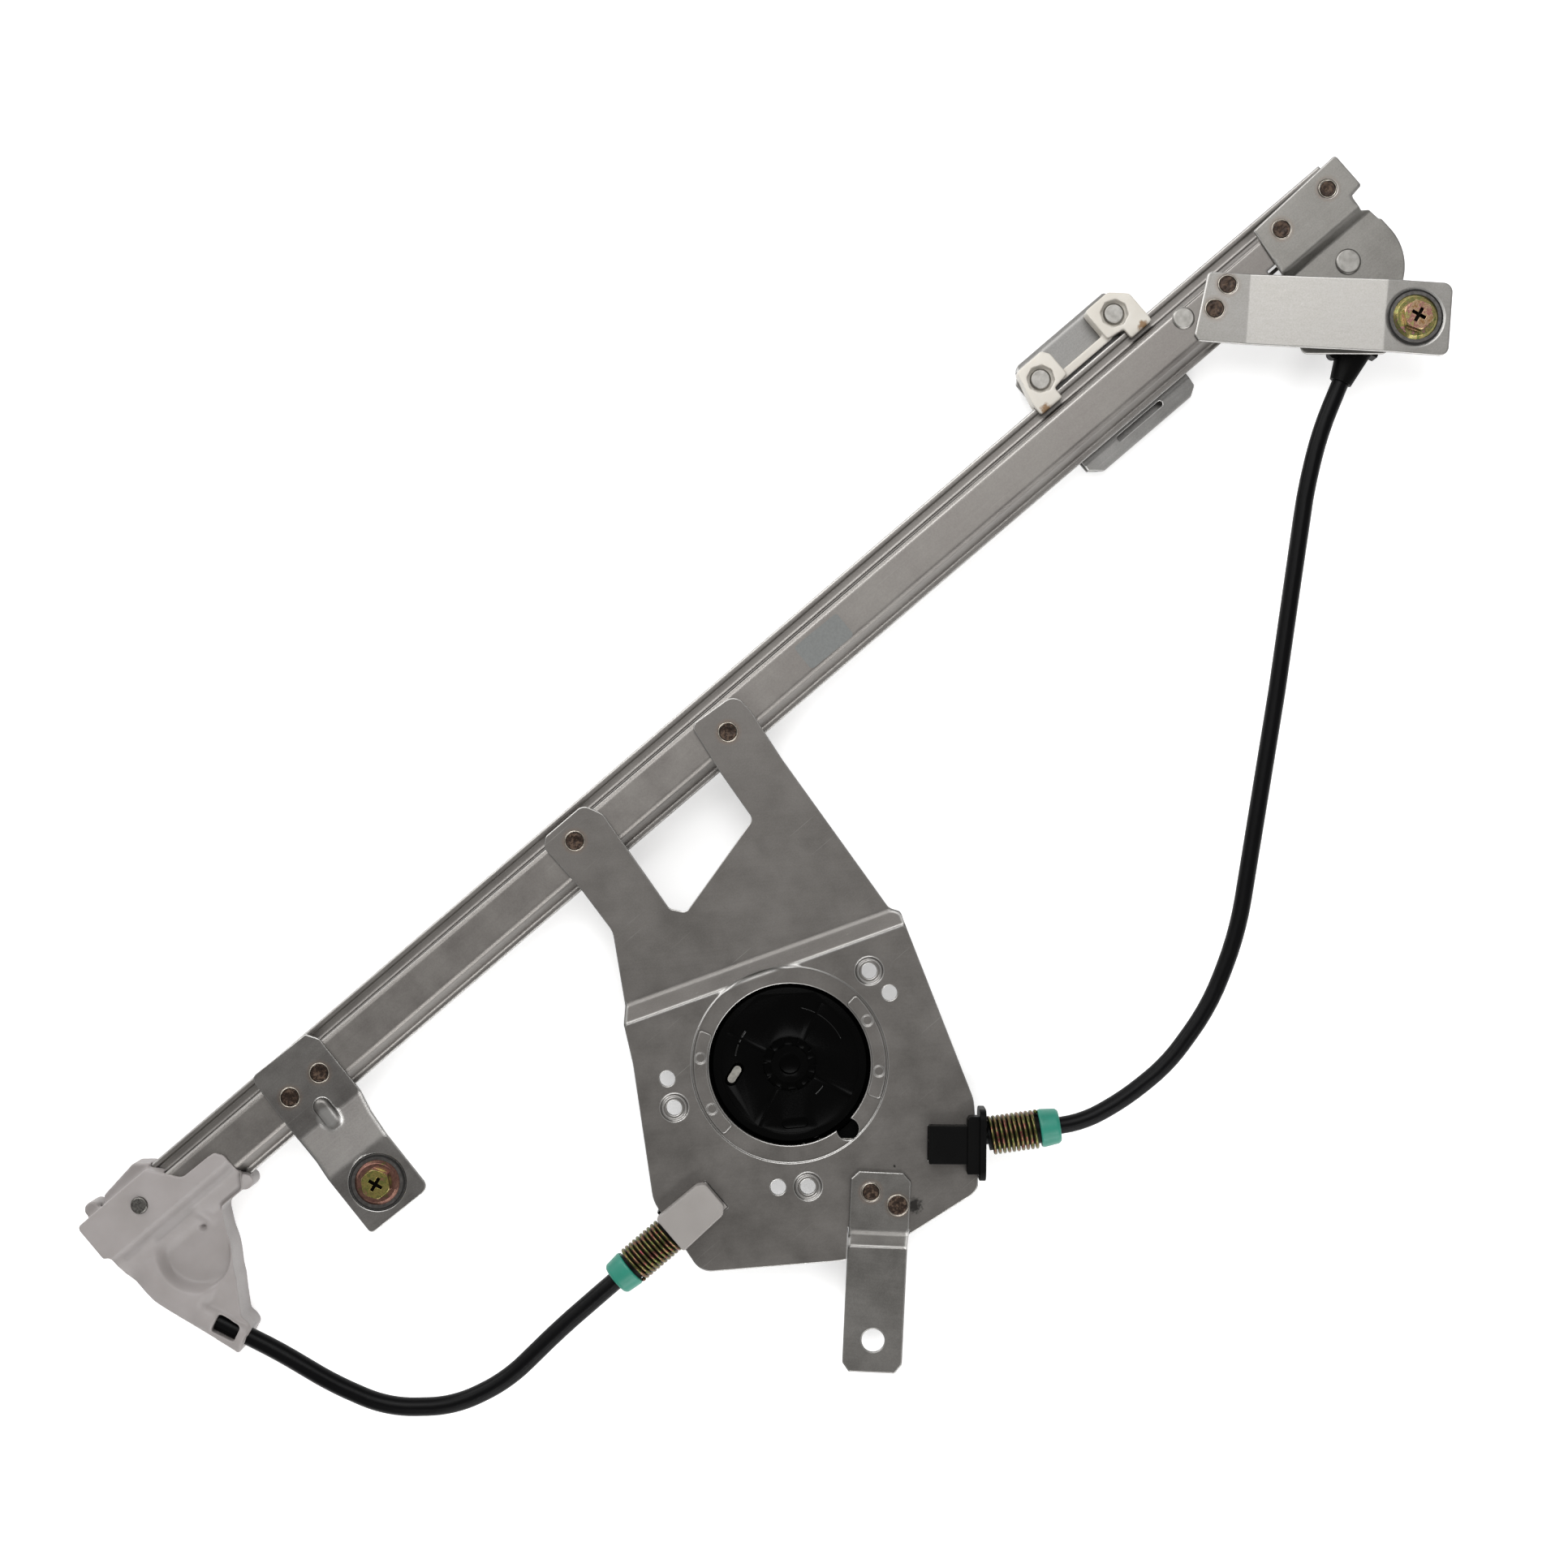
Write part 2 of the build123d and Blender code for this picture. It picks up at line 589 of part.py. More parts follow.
def make_screw():
    """Flanged hexagon screw with a cross recess, its seat at z = 0 and its thread down.

    A thinner neck under the head lets it turn and tip in its washer and nut.
    """
    flange = Cone(FLANGE_R, FLANGE_R - 1.2, FLANGE_HEIGHT, align=(Align.CENTER, Align.CENTER, Align.MIN))
    head = slab(RegularPolygon(HEX_ACROSS / 2, 6, major_radius=False), 0, FLANGE_HEIGHT + HEX_HEIGHT)
    top = FLANGE_HEIGHT + HEX_HEIGHT
    head = head & (Pos(0, 0, top) * Cone(top + HEX_ACROSS / 2 + 0.2, HEX_ACROSS / 2 + 0.2, top,
                                         align=(Align.CENTER, Align.CENTER, Align.MAX)))
    shank = rod((0, 0), THREAD_R, -SCREW_LENGTH, -NECK_LENGTH)
    shank = chamfer(shank.edges().sort_by(Axis.Z)[0], 0.5)
    screw = flange + head + shank + rod((0, 0), NECK_R, -NECK_LENGTH - 0.1, 0.1)
    for turn in (20, 110):
        screw -= Rot(0, 0, turn) * (Pos(0, 0, top) * Box(5.6, 1.3, 4.4))
    return screw


def make_door_screws():
    screw = make_screw()
    return [Pos(x, y, WASHER_FRONT) * screw for x, y in SCREW_PLACES]


def make_screw_washers():
    washers = []
    for place in SCREW_PLACES:
        washer = rod(place, WASHER_R, WASHER_BACK, WASHER_FRONT)
        washer = chamfer(washer.edges().sort_by(Axis.Z)[-1], 0.4)
        washers.append(washer - rod(place, NECK_R + 4 * SNUG, 0, 2 * BRACKET_FRONT))
    return washers


def make_weld_nuts():
    nuts = []
    for place, turn in zip(SCREW_PLACES, (UPPER_ANGLE, LOWER_ANGLE)):
        body = slab(RegularPolygon(NUT_ACROSS / 2, 6, major_radius=False), NUT_TOP - NUT_HEIGHT, NUT_TOP)
        nut = laid(place, turn) * body
        nuts.append(nut - rod(place, NECK_R + SNUG, 0, BRACKET_FRONT))
    return nuts


# Pulley plate, pulley and axle
PULLEY_PLATE_WELDS = from_edge((365.3, -9.1), (342.4, -9.4))
PULLEY_TOP = PULLEY_PLATE_BACK - PULLEY_SIDE_GAP
PULLEY_BACK = PULLEY_TOP - PULLEY_THICKNESS
HOLDER_TIP = (324.0, RAIL_EDGE - 67.3)
CABLE_LEAVES = tangent_from(HOLDER_TIP, PULLEY_CENTRE, PULLEY_GROOVE_R, -1)
HOLDER_ANGLE = angle_of(HOLDER_TIP, CABLE_LEAVES)


def make_pulley_plate():
    far = 60.0
    bend_line = WEB_RIGHT - 0.6
    line = (
        (-far, ARM_FRONT),
        (0, ARM_FRONT),
        (PULLEY_PLATE_DROP, PULLEY_PLATE_FRONT),
        (far, PULLEY_PLATE_FRONT),
    )
    sheet = extrude(upright((PULLEY_CENTRE[0], bend_line), -90) * bent_section(line, SHEET), far, both=True)
    plan = outline(*from_edge(
        (334.0, -3.1, 0.8), (375.6, -1.3, 1.5), (375.8, -16.3, 1), (370.4, -17.1, 0.5),
        (369.8, -23.3, 1), (372.8, -25.1, 1), (373.4, -29.9), (374.2, -30.5), (375.0, -51.5, 21),
        (352.0, -58.5, 4), (343.0, -70.7, 2), (318.6, -49.7, 3), (331.0, -27.5, 3),
    ))
    plate = sheet & slab(plan, 0, 2 * ARM_FRONT)
    plate -= rod(PULLEY_CENTRE, AXLE_R + SNUG, 0, 2 * ARM_FRONT)
    return plate - weld_holes(PULLEY_PLATE_WELDS, WEB_FRONT)


def make_pulley_axle():
    """Shoulder rivet: a head on the plate, a shank for the pulley and a foot below it."""
    foot_top = PULLEY_BACK - PULLEY_SIDE_GAP
    head_top = PULLEY_PLATE_FRONT + AXLE_HEAD_HEIGHT
    axle = rod(PULLEY_CENTRE, AXLE_HEAD_R, PULLEY_PLATE_FRONT, head_top)
    axle = chamfer(axle.edges().sort_by(Axis.Z)[-1], 0.6)
    axle += rod(PULLEY_CENTRE, AXLE_R, foot_top - 1, PULLEY_PLATE_FRONT + 0.5)
    return axle + rod(PULLEY_CENTRE, AXLE_FOOT_R, foot_top - 1.6, foot_top)


def make_upper_pulley():
    middle = PULLEY_THICKNESS / 2
    bore = AXLE_R + RUNNING_FIT
    deep = PULLEY_GROOVE_R - CABLE_R - GROOVE_PLAY
    half = CABLE_R + 0.35
    section = make_face(Polyline(
        (bore, 0), (8.0, 0), (8.8, 1.2), (12.4, 1.2), (13.2, 0.4), (PULLEY_RIM_R, 0.4),
        (PULLEY_RIM_R, middle - half - 1.2), (deep, middle - half), (deep, middle + half),
        (PULLEY_RIM_R, middle + half + 1.2), (PULLEY_RIM_R, PULLEY_THICKNESS - 0.4),
        (13.2, PULLEY_THICKNESS - 0.4), (12.4, PULLEY_THICKNESS - 1.2), (8.8, PULLEY_THICKNESS - 1.2),
        (8.0, PULLEY_THICKNESS), (bore, PULLEY_THICKNESS), close=True))
    wheel = revolve(Plane.XZ * section, Axis.Z)
    for i in range(PULLEY_HOLES):
        wheel -= rod(on_plan((0, 0), i * 360 / PULLEY_HOLES, 10.6), PULLEY_HOLE_R / 1.4, -1, PULLEY_THICKNESS + 1)
    return Pos(PULLEY_CENTRE[0], PULLEY_CENTRE[1], PULLEY_BACK) * wheel


def make_conduit_holder():
    """Moulded end of the upper conduit, clipped below the pulley plate."""
    inner = 21.0
    top = PULLEY_PLATE_BACK
    root = bar(HOLDER_TIP, HOLDER_ANGLE, (inner - 8, inner), (-8.6, 8.0), (CABLE_LEVEL - 5, top))
    wide = upright(on_plan(HOLDER_TIP, HOLDER_ANGLE, inner - 8), HOLDER_ANGLE)
    mouth = Plane(origin=wide.origin, x_dir=(0, 0, 1), z_dir=wide.x_dir)
    level = Vector(0, 0, CABLE_LEVEL)
    tip_place = on_plan(HOLDER_TIP, HOLDER_ANGLE, 0)
    tip = Plane(origin=Vector(tip_place[0], tip_place[1], 0) + level, x_dir=(0, 0, 1), z_dir=wide.x_dir)
    mouth = Plane(origin=mouth.origin + level, x_dir=(0, 0, 1), z_dir=wide.x_dir)
    height = 2 * (PULLEY_PLATE_BACK - CABLE_LEVEL) - 0.2
    taper = loft([tip * Circle(CONDUIT_R + 1.2), mouth * RectangleRounded(height, 13.0, 3)])
    holder = root + taper
    lug = on_plan(HOLDER_TIP, HOLDER_ANGLE, 9.0, 6.6)
    holder += rod(lug, 2.2, CABLE_LEVEL - 3, CABLE_LEVEL + 3)
    holder -= lying_rod(HOLDER_TIP, HOLDER_ANGLE, CABLE_LEVEL, CONDUIT_R + SNUG, (-1, CONDUIT_INSERT))
    return holder - lying_rod(HOLDER_TIP, HOLDER_ANGLE, CABLE_LEVEL, WIRE_HOLE_R, (0, inner + 1))


# Lower cable guide
GUIDE_CENTRE_Y = CABLE_LINE - GUIDE_GROOVE_R
GUIDE_TURN = 180 + GUIDE_EXIT_ANGLE
EXIT_OUT = (cos(radians(GUIDE_EXIT_ANGLE)), sin(radians(GUIDE_EXIT_ANGLE)))
EXIT_OFFSET = GUIDE_GROOVE_R + (GUIDE_CENTRE_Y - GUIDE_EXIT[1]) * EXIT_OUT[0] * -1
GUIDE_CENTRE = (GUIDE_EXIT[0] - EXIT_OFFSET / EXIT_OUT[1], GUIDE_CENTRE_Y)
GUIDE_TURN_END = on_plan(GUIDE_CENTRE, GUIDE_EXIT_ANGLE - 90, GUIDE_GROOVE_R)
GUIDE_BODY = from_edge(
    (-241.0, -0.3, 1.5), (-207.6, -0.3, 1.5), (-199.0, -11.5, 2), (-184.0, -12.1, 2),
    (-181.8, -15.5, 2), (-182.0, -24.5, 2), (-187.0, -29.5, 2), (-197.0, -29.1, 3),
    (-201.5, -37.5, 10), (-205.6, -51.5, 8), (-206.2, -56.5, 4), (-214.6, -70.3, 0.6),
    (-227.2, -75.5, 0.6), (-231.0, -63.5, 3), (-238.4, -39.5, 12), (-239.2, -16.9, 1),
    (-241.2, -15.7, 0.8),
)


def guide_cable_line(extra=0.0):
    """Way of the cable round the guide: along the rail, round the groove and out."""
    cx, cy = GUIDE_CENTRE
    top = (cx, cy + GUIDE_GROOVE_R, CABLE_LEVEL)
    turn = JernArc(top, (-1, 0, 0), GUIDE_GROOVE_R, GUIDE_TURN)
    out = Line(turn @ 1, level_point(on_plan(GUIDE_EXIT, GUIDE_EXIT_ANGLE, extra), CABLE_LEVEL))
    return Wire([turn, out])


def make_bottom_guide():
    body = slab(outline(*GUIDE_BODY), 0, GUIDE_BODY_FRONT)
    head_top = WEB_FRONT + GUIDE_HEAD_THICKNESS
    above = Pos(-210, GUIDE_HEAD_EDGE + 20) * Rectangle(80, 40)
    body += slab(outline(*GUIDE_BODY) & above, GUIDE_BODY_FRONT - 1, head_top)
    cover_edge = GUIDE_HEAD_EDGE - GUIDE_COVER_WIDTH
    cover = make_face(Polyline(
        (GUIDE_HEAD_EDGE + 1, GUIDE_BODY_FRONT - 1), (GUIDE_HEAD_EDGE + 1, WEB_FRONT + GUIDE_COVER),
        (cover_edge, WEB_FRONT + GUIDE_COVER), (cover_edge - 5, GUIDE_BODY_FRONT),
        (cover_edge - 5, GUIDE_BODY_FRONT - 1), close=True))
    body += extrude(across_rail(-250) * cover, 100) & slab(outline(*GUIDE_BODY), 0, head_top)
    pocket = offset(outline(*GUIDE_BODY), -GUIDE_WALL, kind=Kind.INTERSECTION)
    body -= slab(pocket, -1, GUIDE_POCKET_DEPTH)
    way = guide_cable_line()
    start = Plane(origin=way @ 0, z_dir=way % 0)
    ridge = sweep(start * Circle(GUIDE_RIDGE_R), path=way)
    body += ridge & slab(outline(*GUIDE_BODY), 0, head_top)
    for offset_y in (-18, 0, 18):
        rib = bar((-220, GUIDE_CENTRE_Y + offset_y), 0, (-30, 40), (-0.9, 0.9), (0, GUIDE_POCKET_DEPTH + 1))
        body += rib & slab(outline(*GUIDE_BODY), 0, GUIDE_BODY_FRONT)
    dish = rod(GUIDE_CENTRE, GUIDE_DISH_R, GUIDE_BODY_FRONT - GUIDE_DISH_DEPTH, head_top - GUIDE_HEAD_THICKNESS)
    body -= dish
    for lug, lug_r in (((-234.4, RAIL_EDGE + 1.5), 2.9), ((-184.0, RAIL_EDGE - 27.7), 3.2)):
        body += rod(lug, lug_r, 4, FLANGE_FRONT + 4)
    clip = outline(*from_edge((-229.5, -1.5), (-227.6, 2.7, 1), (-211.5, 4.7, 1), (-206.6, 0.5, 1),
                              (-207.0, -1.5)))
    body += slab(clip, 4, FLANGE_FRONT - RAIL_SHEET - 0.2)
    body += slab(clip & (Pos(-218, RAIL_EDGE + 2.7) * Rectangle(30, 5)), 4, FLANGE_FRONT + 4)
    room = offset(RAIL_SECTION, 3 * SNUG, kind=Kind.INTERSECTION)
    body -= extrude(across_rail(RAIL_START - 3 * SNUG) * room, 100)
    hem_levels = (FLANGE_FRONT - RAIL_SHEET, FLANGE_FRONT + RAIL_SHEET + 3 * SNUG)
    body -= bar((0, 0), 0, (RAIL_START - 3 * SNUG, -100), (RAIL_EDGE - HEM_WIDTH - 3 * SNUG, RAIL_EDGE + 3 * SNUG),
                hem_levels)
    body -= sweep(start * Circle(WIRE_HOLE_R), path=guide_cable_line(2))
    body -= bar((0, CABLE_LINE), 0, (GUIDE_CENTRE[0], -150), (-WIRE_HOLE_R, WIRE_HOLE_R),
                (CABLE_LEVEL - WIRE_HOLE_R, CABLE_LEVEL + WIRE_HOLE_R))
    body -= lying_rod(GUIDE_EXIT, GUIDE_EXIT_ANGLE, CABLE_LEVEL, CONDUIT_R + SNUG, (-CONDUIT_INSERT, 3))
    body -= bar(GUIDE_EXIT, GUIDE_EXIT_ANGLE, (-3.2 - 9.5, -3.2), (-3.5, 3.5), (CABLE_LEVEL, head_top))
    return body - rod(GUIDE_RIVET, STOP_SHANK_R + SNUG, 0, 2 * head_top)


def make_guide_rivet():
    head = WEB_FRONT + GUIDE_HEAD_THICKNESS
    rivet = rod(GUIDE_RIVET, STOP_SHANK_R + 0.7, head, head + 0.9)
    rivet = chamfer(rivet.edges().sort_by(Axis.Z)[-1], 0.5)
    return rivet + rod(GUIDE_RIVET, STOP_SHANK_R, GUIDE_POCKET_DEPTH, head + 0.4)


def make_stop_rivet():
    rivet = rod(STOP_RIVET, STOP_RIVET_R, WEB_FRONT, WEB_FRONT + 1.0)
    rivet = chamfer(rivet.edges().sort_by(Axis.Z)[-1], 0.6)
    return rivet + rod(STOP_RIVET, STOP_SHANK_R, CARRIER_FRONT + 4, WEB_FRONT + 0.5)


# Conduit caps, springs, bushes and conduits
UPPER_CAP_LENGTH = UPPER_CAP_BLOCK + UPPER_CAP_COLLAR + UPPER_CAP_FLANGE
UPPER_MOUTH = on_plan(UPPER_CAP_START, UPPER_CAP_ANGLE, UPPER_CAP_LENGTH, UPPER_CONDUIT_OFFSET)
LOWER_MOUTH = on_plan(LOWER_CAP_START, 180, LOWER_CAP_LENGTH)
SPRING_OUTER_R = SPRING_R + SPRING_WIRE_R
UPPER_SPRING_SEAT = SPRING_OUTER_R * sin(radians(UPPER_CONDUIT_ANGLE - UPPER_CAP_ANGLE))
UPPER_SPRING_START = on_plan(UPPER_MOUTH, UPPER_CONDUIT_ANGLE, UPPER_SPRING_SEAT)


def lead_ends(mouth, angle, side):
    """Both ends of the wire from a conduit's end to just short of the drum."""
    high = on_plan(mouth, angle, -CONDUIT_INSERT - 4 * SNUG)
    touch = tangent_from(high, (0, 0), DRUM_WRAP_R, side)
    low = on_plan(high, angle_of(high, touch), between(high, touch) - LEAD_STOP)
    groove = FIRST_GROOVE + DRUM_GROOVE_PITCH * (DRUM_GROOVES - (2 if side > 0 else 1))
    return Vector(*high, CONDUIT_LEVEL), Vector(*low, groove)


def straight_wire(start, end, radius):
    """Straight round bar between two points in space."""
    return sweep(Plane(origin=start, z_dir=end - start) * Circle(radius), path=Line(start, end))


def cap_bores(mouth, angle, side):
    """Bore for the conduit's end, inward from the mouth, and the smaller hole for its wire."""
    bore = lying_rod(mouth, angle, CONDUIT_LEVEL, CONDUIT_R + SNUG, (-CONDUIT_INSERT, 5))
    high, low = lead_ends(mouth, angle, side)
    return bore + straight_wire(high + (high - low) * 0.02, low, WIRE_HOLE_R)


def make_lower_cap():
    plan = outline(
        (0, -6.2, 2.5), (3.0, -7.9, 2.5), (LOWER_CAP_LENGTH, -8.2, 1.2), (LOWER_CAP_LENGTH, 7.8, 1.2),
        (2.5, 7.0, 2.5), (0, 4.5, 2.5),
    )
    top = slab(plan, PLATE_FRONT, CAP_FRONT)
    top = fillet(top.faces().sort_by(Axis.Z)[-1].edges(), 0.7)
    cap = laid(LOWER_CAP_START, 180) * top
    half = NECK_WIDTH / 2
    cap += bar(LOWER_CAP_START, 180, (0, LOWER_CAP_LENGTH), (-half, half), (CAP_BACK, PLATE_FRONT))
    return cap - cap_bores(LOWER_MOUTH, 180, -1)


def make_upper_cap():
    half = NECK_WIDTH / 2
    first = UPPER_CAP_BLOCK
    second = first + UPPER_CAP_COLLAR
    third = second + UPPER_CAP_FLANGE
    place = (UPPER_CAP_START, UPPER_CAP_ANGLE)
    cap = bar(*place, (0, first), (-7.15, 7.15), (PLATE_FRONT, CAP_FRONT))
    collar_plan = outline((first, -10.8), (second, -10.8), (second, 10.8), (first + 1, 10.8, 1), (first, 9.6, 0.5))
    cap += laid(*place) * slab(collar_plan, PLATE_FRONT, CAP_FRONT + 0.6)
    cap += bar(*place, (0, second), (-half, half), (CAP_BACK, PLATE_FRONT))
    flange = extrude(upright(on_plan(*place, second), UPPER_CAP_ANGLE + 90)
                     * Pos(0, CONDUIT_LEVEL) * RectangleRounded(26.8, 19.0, 4), UPPER_CAP_FLANGE)
    cap += flange
    return cap - cap_bores(UPPER_MOUTH, UPPER_CONDUIT_ANGLE, 1)


def make_spring(mouth, angle):
    """Compression spring round the conduit, from the cap to the bush.

    Each turn is drawn as straight runs of six-sided wire, which keeps the helix light.
    """
    corner_r = SPRING_R / cos(pi / SPRING_RUNS)
    rise = SPRING_LENGTH - 2 * SPRING_WIRE_R - 2 * SNUG
    steps = round(rise / SPRING_PITCH * SPRING_RUNS)
    corners = []
    for i in range(steps + 1):
        turn = 2 * pi * i / SPRING_RUNS
        corners.append(Vector(corner_r * cos(turn), corner_r * sin(turn), rise * i / steps))
    wire = Plane(origin=corners[0], z_dir=corners[1] - corners[0]) * RegularPolygon(SPRING_WIRE_R, 6)
    coil = sweep(wire, path=Polyline(*corners), transition=Transition.RIGHT)
    lift = laid(mouth, angle, CONDUIT_LEVEL) * Rot(0, 90, 0)
    return lift * Pos(0, 0, SPRING_WIRE_R + SNUG) * coil


def make_bush(mouth, angle):
    """Flared bush that passes the spring's force to the conduit."""
    section = make_face(Polyline(
        (CONDUIT_R + SNUG, 0), (BUSH_R - 0.3, 0), (BUSH_R, 1.0), (BUSH_R - 0.6, BUSH_LENGTH - 1),
        (BUSH_R - 1.4, BUSH_LENGTH), (CONDUIT_R + SNUG, BUSH_LENGTH), close=True))
    bush = revolve(Plane.XZ * section, Axis.Z)
    lift = laid(mouth, angle, CONDUIT_LEVEL) * Rot(0, 90, 0)
    return lift * Pos(0, 0, SPRING_LENGTH) * bush


def level_point(place, level):
    """Place in the plan with its level."""
    return (place[0], place[1], level)


def make_upper_conduit():
    inserted = on_plan(UPPER_MOUTH, UPPER_CONDUIT_ANGLE, SNUG - CONDUIT_INSERT)
    past_bush = on_plan(UPPER_SPRING_START, UPPER_CONDUIT_ANGLE, SPRING_LENGTH + BUSH_LENGTH + 9)
    before_holder = on_plan(HOLDER_TIP, HOLDER_ANGLE, -20)
    seated = on_plan(HOLDER_TIP, HOLDER_ANGLE, CONDUIT_INSERT - SNUG)
    route = [level_point(inserted, CONDUIT_LEVEL), level_point(past_bush, CONDUIT_LEVEL), *UPPER_ROUTE,
             level_point(before_holder, CABLE_LEVEL), level_point(seated, CABLE_LEVEL)]
    return tube_along(route, CONDUIT_R)


def make_lower_conduit():
    inserted = on_plan(LOWER_MOUTH, 180, SNUG - CONDUIT_INSERT)
    past_bush = on_plan(LOWER_MOUTH, 180, SPRING_LENGTH + BUSH_LENGTH + 10)
    before_exit = on_plan(GUIDE_EXIT, GUIDE_EXIT_ANGLE, 14)
    seated = on_plan(GUIDE_EXIT, GUIDE_EXIT_ANGLE, SNUG - CONDUIT_INSERT)
    route = [level_point(inserted, CONDUIT_LEVEL), level_point(past_bush, CONDUIT_LEVEL), *LOWER_ROUTE,
             level_point(before_exit, CABLE_LEVEL), level_point(seated, CABLE_LEVEL)]
    return tube_along(route, CONDUIT_R)


# Cable
def make_lift_cable():
    """Cable from the lower conduit, round the guide, along the rail and round the pulley."""
    end_in_guide = on_plan(GUIDE_EXIT, GUIDE_EXIT_ANGLE, -CONDUIT_INSERT - 2 * SNUG)
    start = Line(level_point(end_in_guide, CABLE_LEVEL), level_point(GUIDE_TURN_END, CABLE_LEVEL))
    turn = JernArc(start @ 1, start % 1, GUIDE_GROOVE_R, -GUIDE_TURN)
    px, py = PULLEY_CENTRE
    run = Line(turn @ 1, (px, CABLE_LINE, CABLE_LEVEL))
    leave = angle_of(PULLEY_CENTRE, CABLE_LEAVES)
    wrap = JernArc(run @ 1, (1, 0, 0), PULLEY_GROOVE_R, leave - 90)
    into = on_plan(HOLDER_TIP, HOLDER_ANGLE, CONDUIT_INSERT + 2 * SNUG)
    last = Line(wrap @ 1, (into[0], into[1], CABLE_LEVEL))
    path = Wire([start, turn, run, wrap, last])
    section = Plane(origin=path @ 0, z_dir=path % 0) * Circle(CABLE_R)
    return sweep(section, path=path)


def make_drum_leads():
    """Short wires from the two caps to the drum, ending just before they touch it."""
    ends = (lead_ends(LOWER_MOUTH, 180, -1), lead_ends(UPPER_MOUTH, UPPER_CONDUIT_ANGLE, 1))
    return [straight_wire(high, low, CABLE_R) for high, low in ends]


# Drum housing
def make_drum_housing():
    rim = SEAT_BACK
    outer = HOUSING_INNER_R + HOUSING_WALL
    pad = HOUSING_PAD_HEIGHT
    bowl = rod((0, 0), outer, pad, rim) + rod((0, 0), SEAT_R - 0.6, rim - HOUSING_WALL, rim)
    bowl += rod((0, 0), HOUSING_PAD_R, 0, pad)
    for i in range(HOUSING_RIBS):
        rib = bar((0, 0), i * 360 / HOUSING_RIBS, (HOUSING_PAD_R - 1, outer - 0.5), (-0.8, 0.8), (0, pad + 0.5))
        bowl += rib
    arms = []
    half = ARM_WIDTH / 2
    for start, angle, reach in ((LOWER_CAP_START, 180, LOWER_CAP_LENGTH - 1), (UPPER_CAP_START, UPPER_CAP_ANGLE, 17.5)):
        arms.append(bar(start, angle, (-38, reach), (-half, half), (ARM_BACK, PLATE_BACK)))
    housing = bowl + arms[0] + arms[1]
    housing -= rod((0, 0), SEAT_R + SHEET + 3 * SNUG, rim, PLATE_BACK + 1)
    housing -= rod((0, 0), HOUSING_INNER_R, HOUSING_FLOOR, 2 * rim)
    neck = NECK_WIDTH / 2 + 2 * SNUG
    for start, angle, reach in ((LOWER_CAP_START, 180, LOWER_CAP_LENGTH), (UPPER_CAP_START, UPPER_CAP_ANGLE, 20)):
        housing -= bar(start, angle, (-2 * SNUG, reach), (-neck, neck), (CAP_BACK - 2 * SNUG, 2 * rim))
        housing -= bar(start, angle, (-42, 1), (-half + 0.8, half - 0.8), (ARM_BACK + 1.5, 2 * rim))
    pin = rod((0, 0), DRUM_PIN_R - RUNNING_FIT, HOUSING_FLOOR - 1, DRUM_FRONT - HUB_BORE_DEPTH - 1)
    return housing + pin


# Cable drum
def drum_blank():
    """Turned drum with a tapered groove for each turn of cable."""
    floor_r = DRUM_WRAP_R - CABLE_R - 2 * SNUG
    floor_half, mouth_half = DRUM_GROOVE_PITCH * 0.22, DRUM_GROOVE_PITCH * 0.46
    side = [(0, DRUM_BACK), (DRUM_R, DRUM_BACK)]
    for i in range(DRUM_GROOVES):
        level = FIRST_GROOVE + i * DRUM_GROOVE_PITCH
        side += [(DRUM_R, level - mouth_half), (floor_r, level - floor_half),
                 (floor_r, level + floor_half), (DRUM_R, level + mouth_half)]
    side += [(DRUM_R, DRUM_FRONT - 0.6), (DRUM_R - 0.6, DRUM_FRONT), (0, DRUM_FRONT)]
    return revolve(Plane.XZ * make_face(Polyline(*side, close=True)), Axis.Z)


def make_cable_drum():
    drum = drum_blank()
    dish_r = DRUM_R - DRUM_RIM_WIDTH
    dish = rod((0, 0), dish_r, DRUM_FRONT - DRUM_DISH_DEPTH, DRUM_FRONT + 1)
    drum -= dish - rod((0, 0), HUB_R, 0, DRUM_FRONT + 2)
    for i in range(4):
        rib = bar((0, 0), 22 + i * 90, (HUB_R - 0.5, dish_r + 0.5), (-0.5, 0.5), (DRUM_FRONT - DRUM_DISH_DEPTH - 0.2,
                                                                         DRUM_FRONT - 0.5))
        drum += rib
    for i in range(HUB_SLOTS):
        angle = (i + 0.5) * 360 / HUB_SLOTS
        slot = bar((0, 0), angle, (HUB_SLOT_INNER_R, HUB_R - 0.8), (-1.5, 1.5), (DRUM_FRONT - 5, DRUM_FRONT + 1))
        drum -= slot
    drum -= rod((0, 0), HUB_BORE_R, DRUM_FRONT - HUB_BORE_DEPTH, DRUM_FRONT + 1)
    drum -= rod((0, 0), DRUM_PIN_R, 0, DRUM_FRONT - HUB_BORE_DEPTH - 0.8)
    nipple = on_plan((0, 0), NIPPLE_ANGLE, NIPPLE_DISTANCE)
    drum -= nipple_shape(nipple, 9.6, 4.6, DRUM_FRONT - 6, DRUM_FRONT + 1)
    kidney = on_plan((0, 0), 234.7, 22.4)
    return drum - nipple_shape(kidney, 10.0, 4.2, DRUM_FRONT - 5, DRUM_FRONT + 1, 324.7)


def nipple_shape(place, length, width, bottom, top, turn=17.0):
    """Rounded bar on end, as long and wide as said."""
    return laid(place, turn) * slab(SlotOverall(length, width), bottom, top)


def make_drum_nipple():
    place = on_plan((0, 0), NIPPLE_ANGLE, NIPPLE_DISTANCE)
    return nipple_shape(place, 7.0, 3.0, DRUM_FRONT - 6 + SNUG, DRUM_FRONT - 1.2)


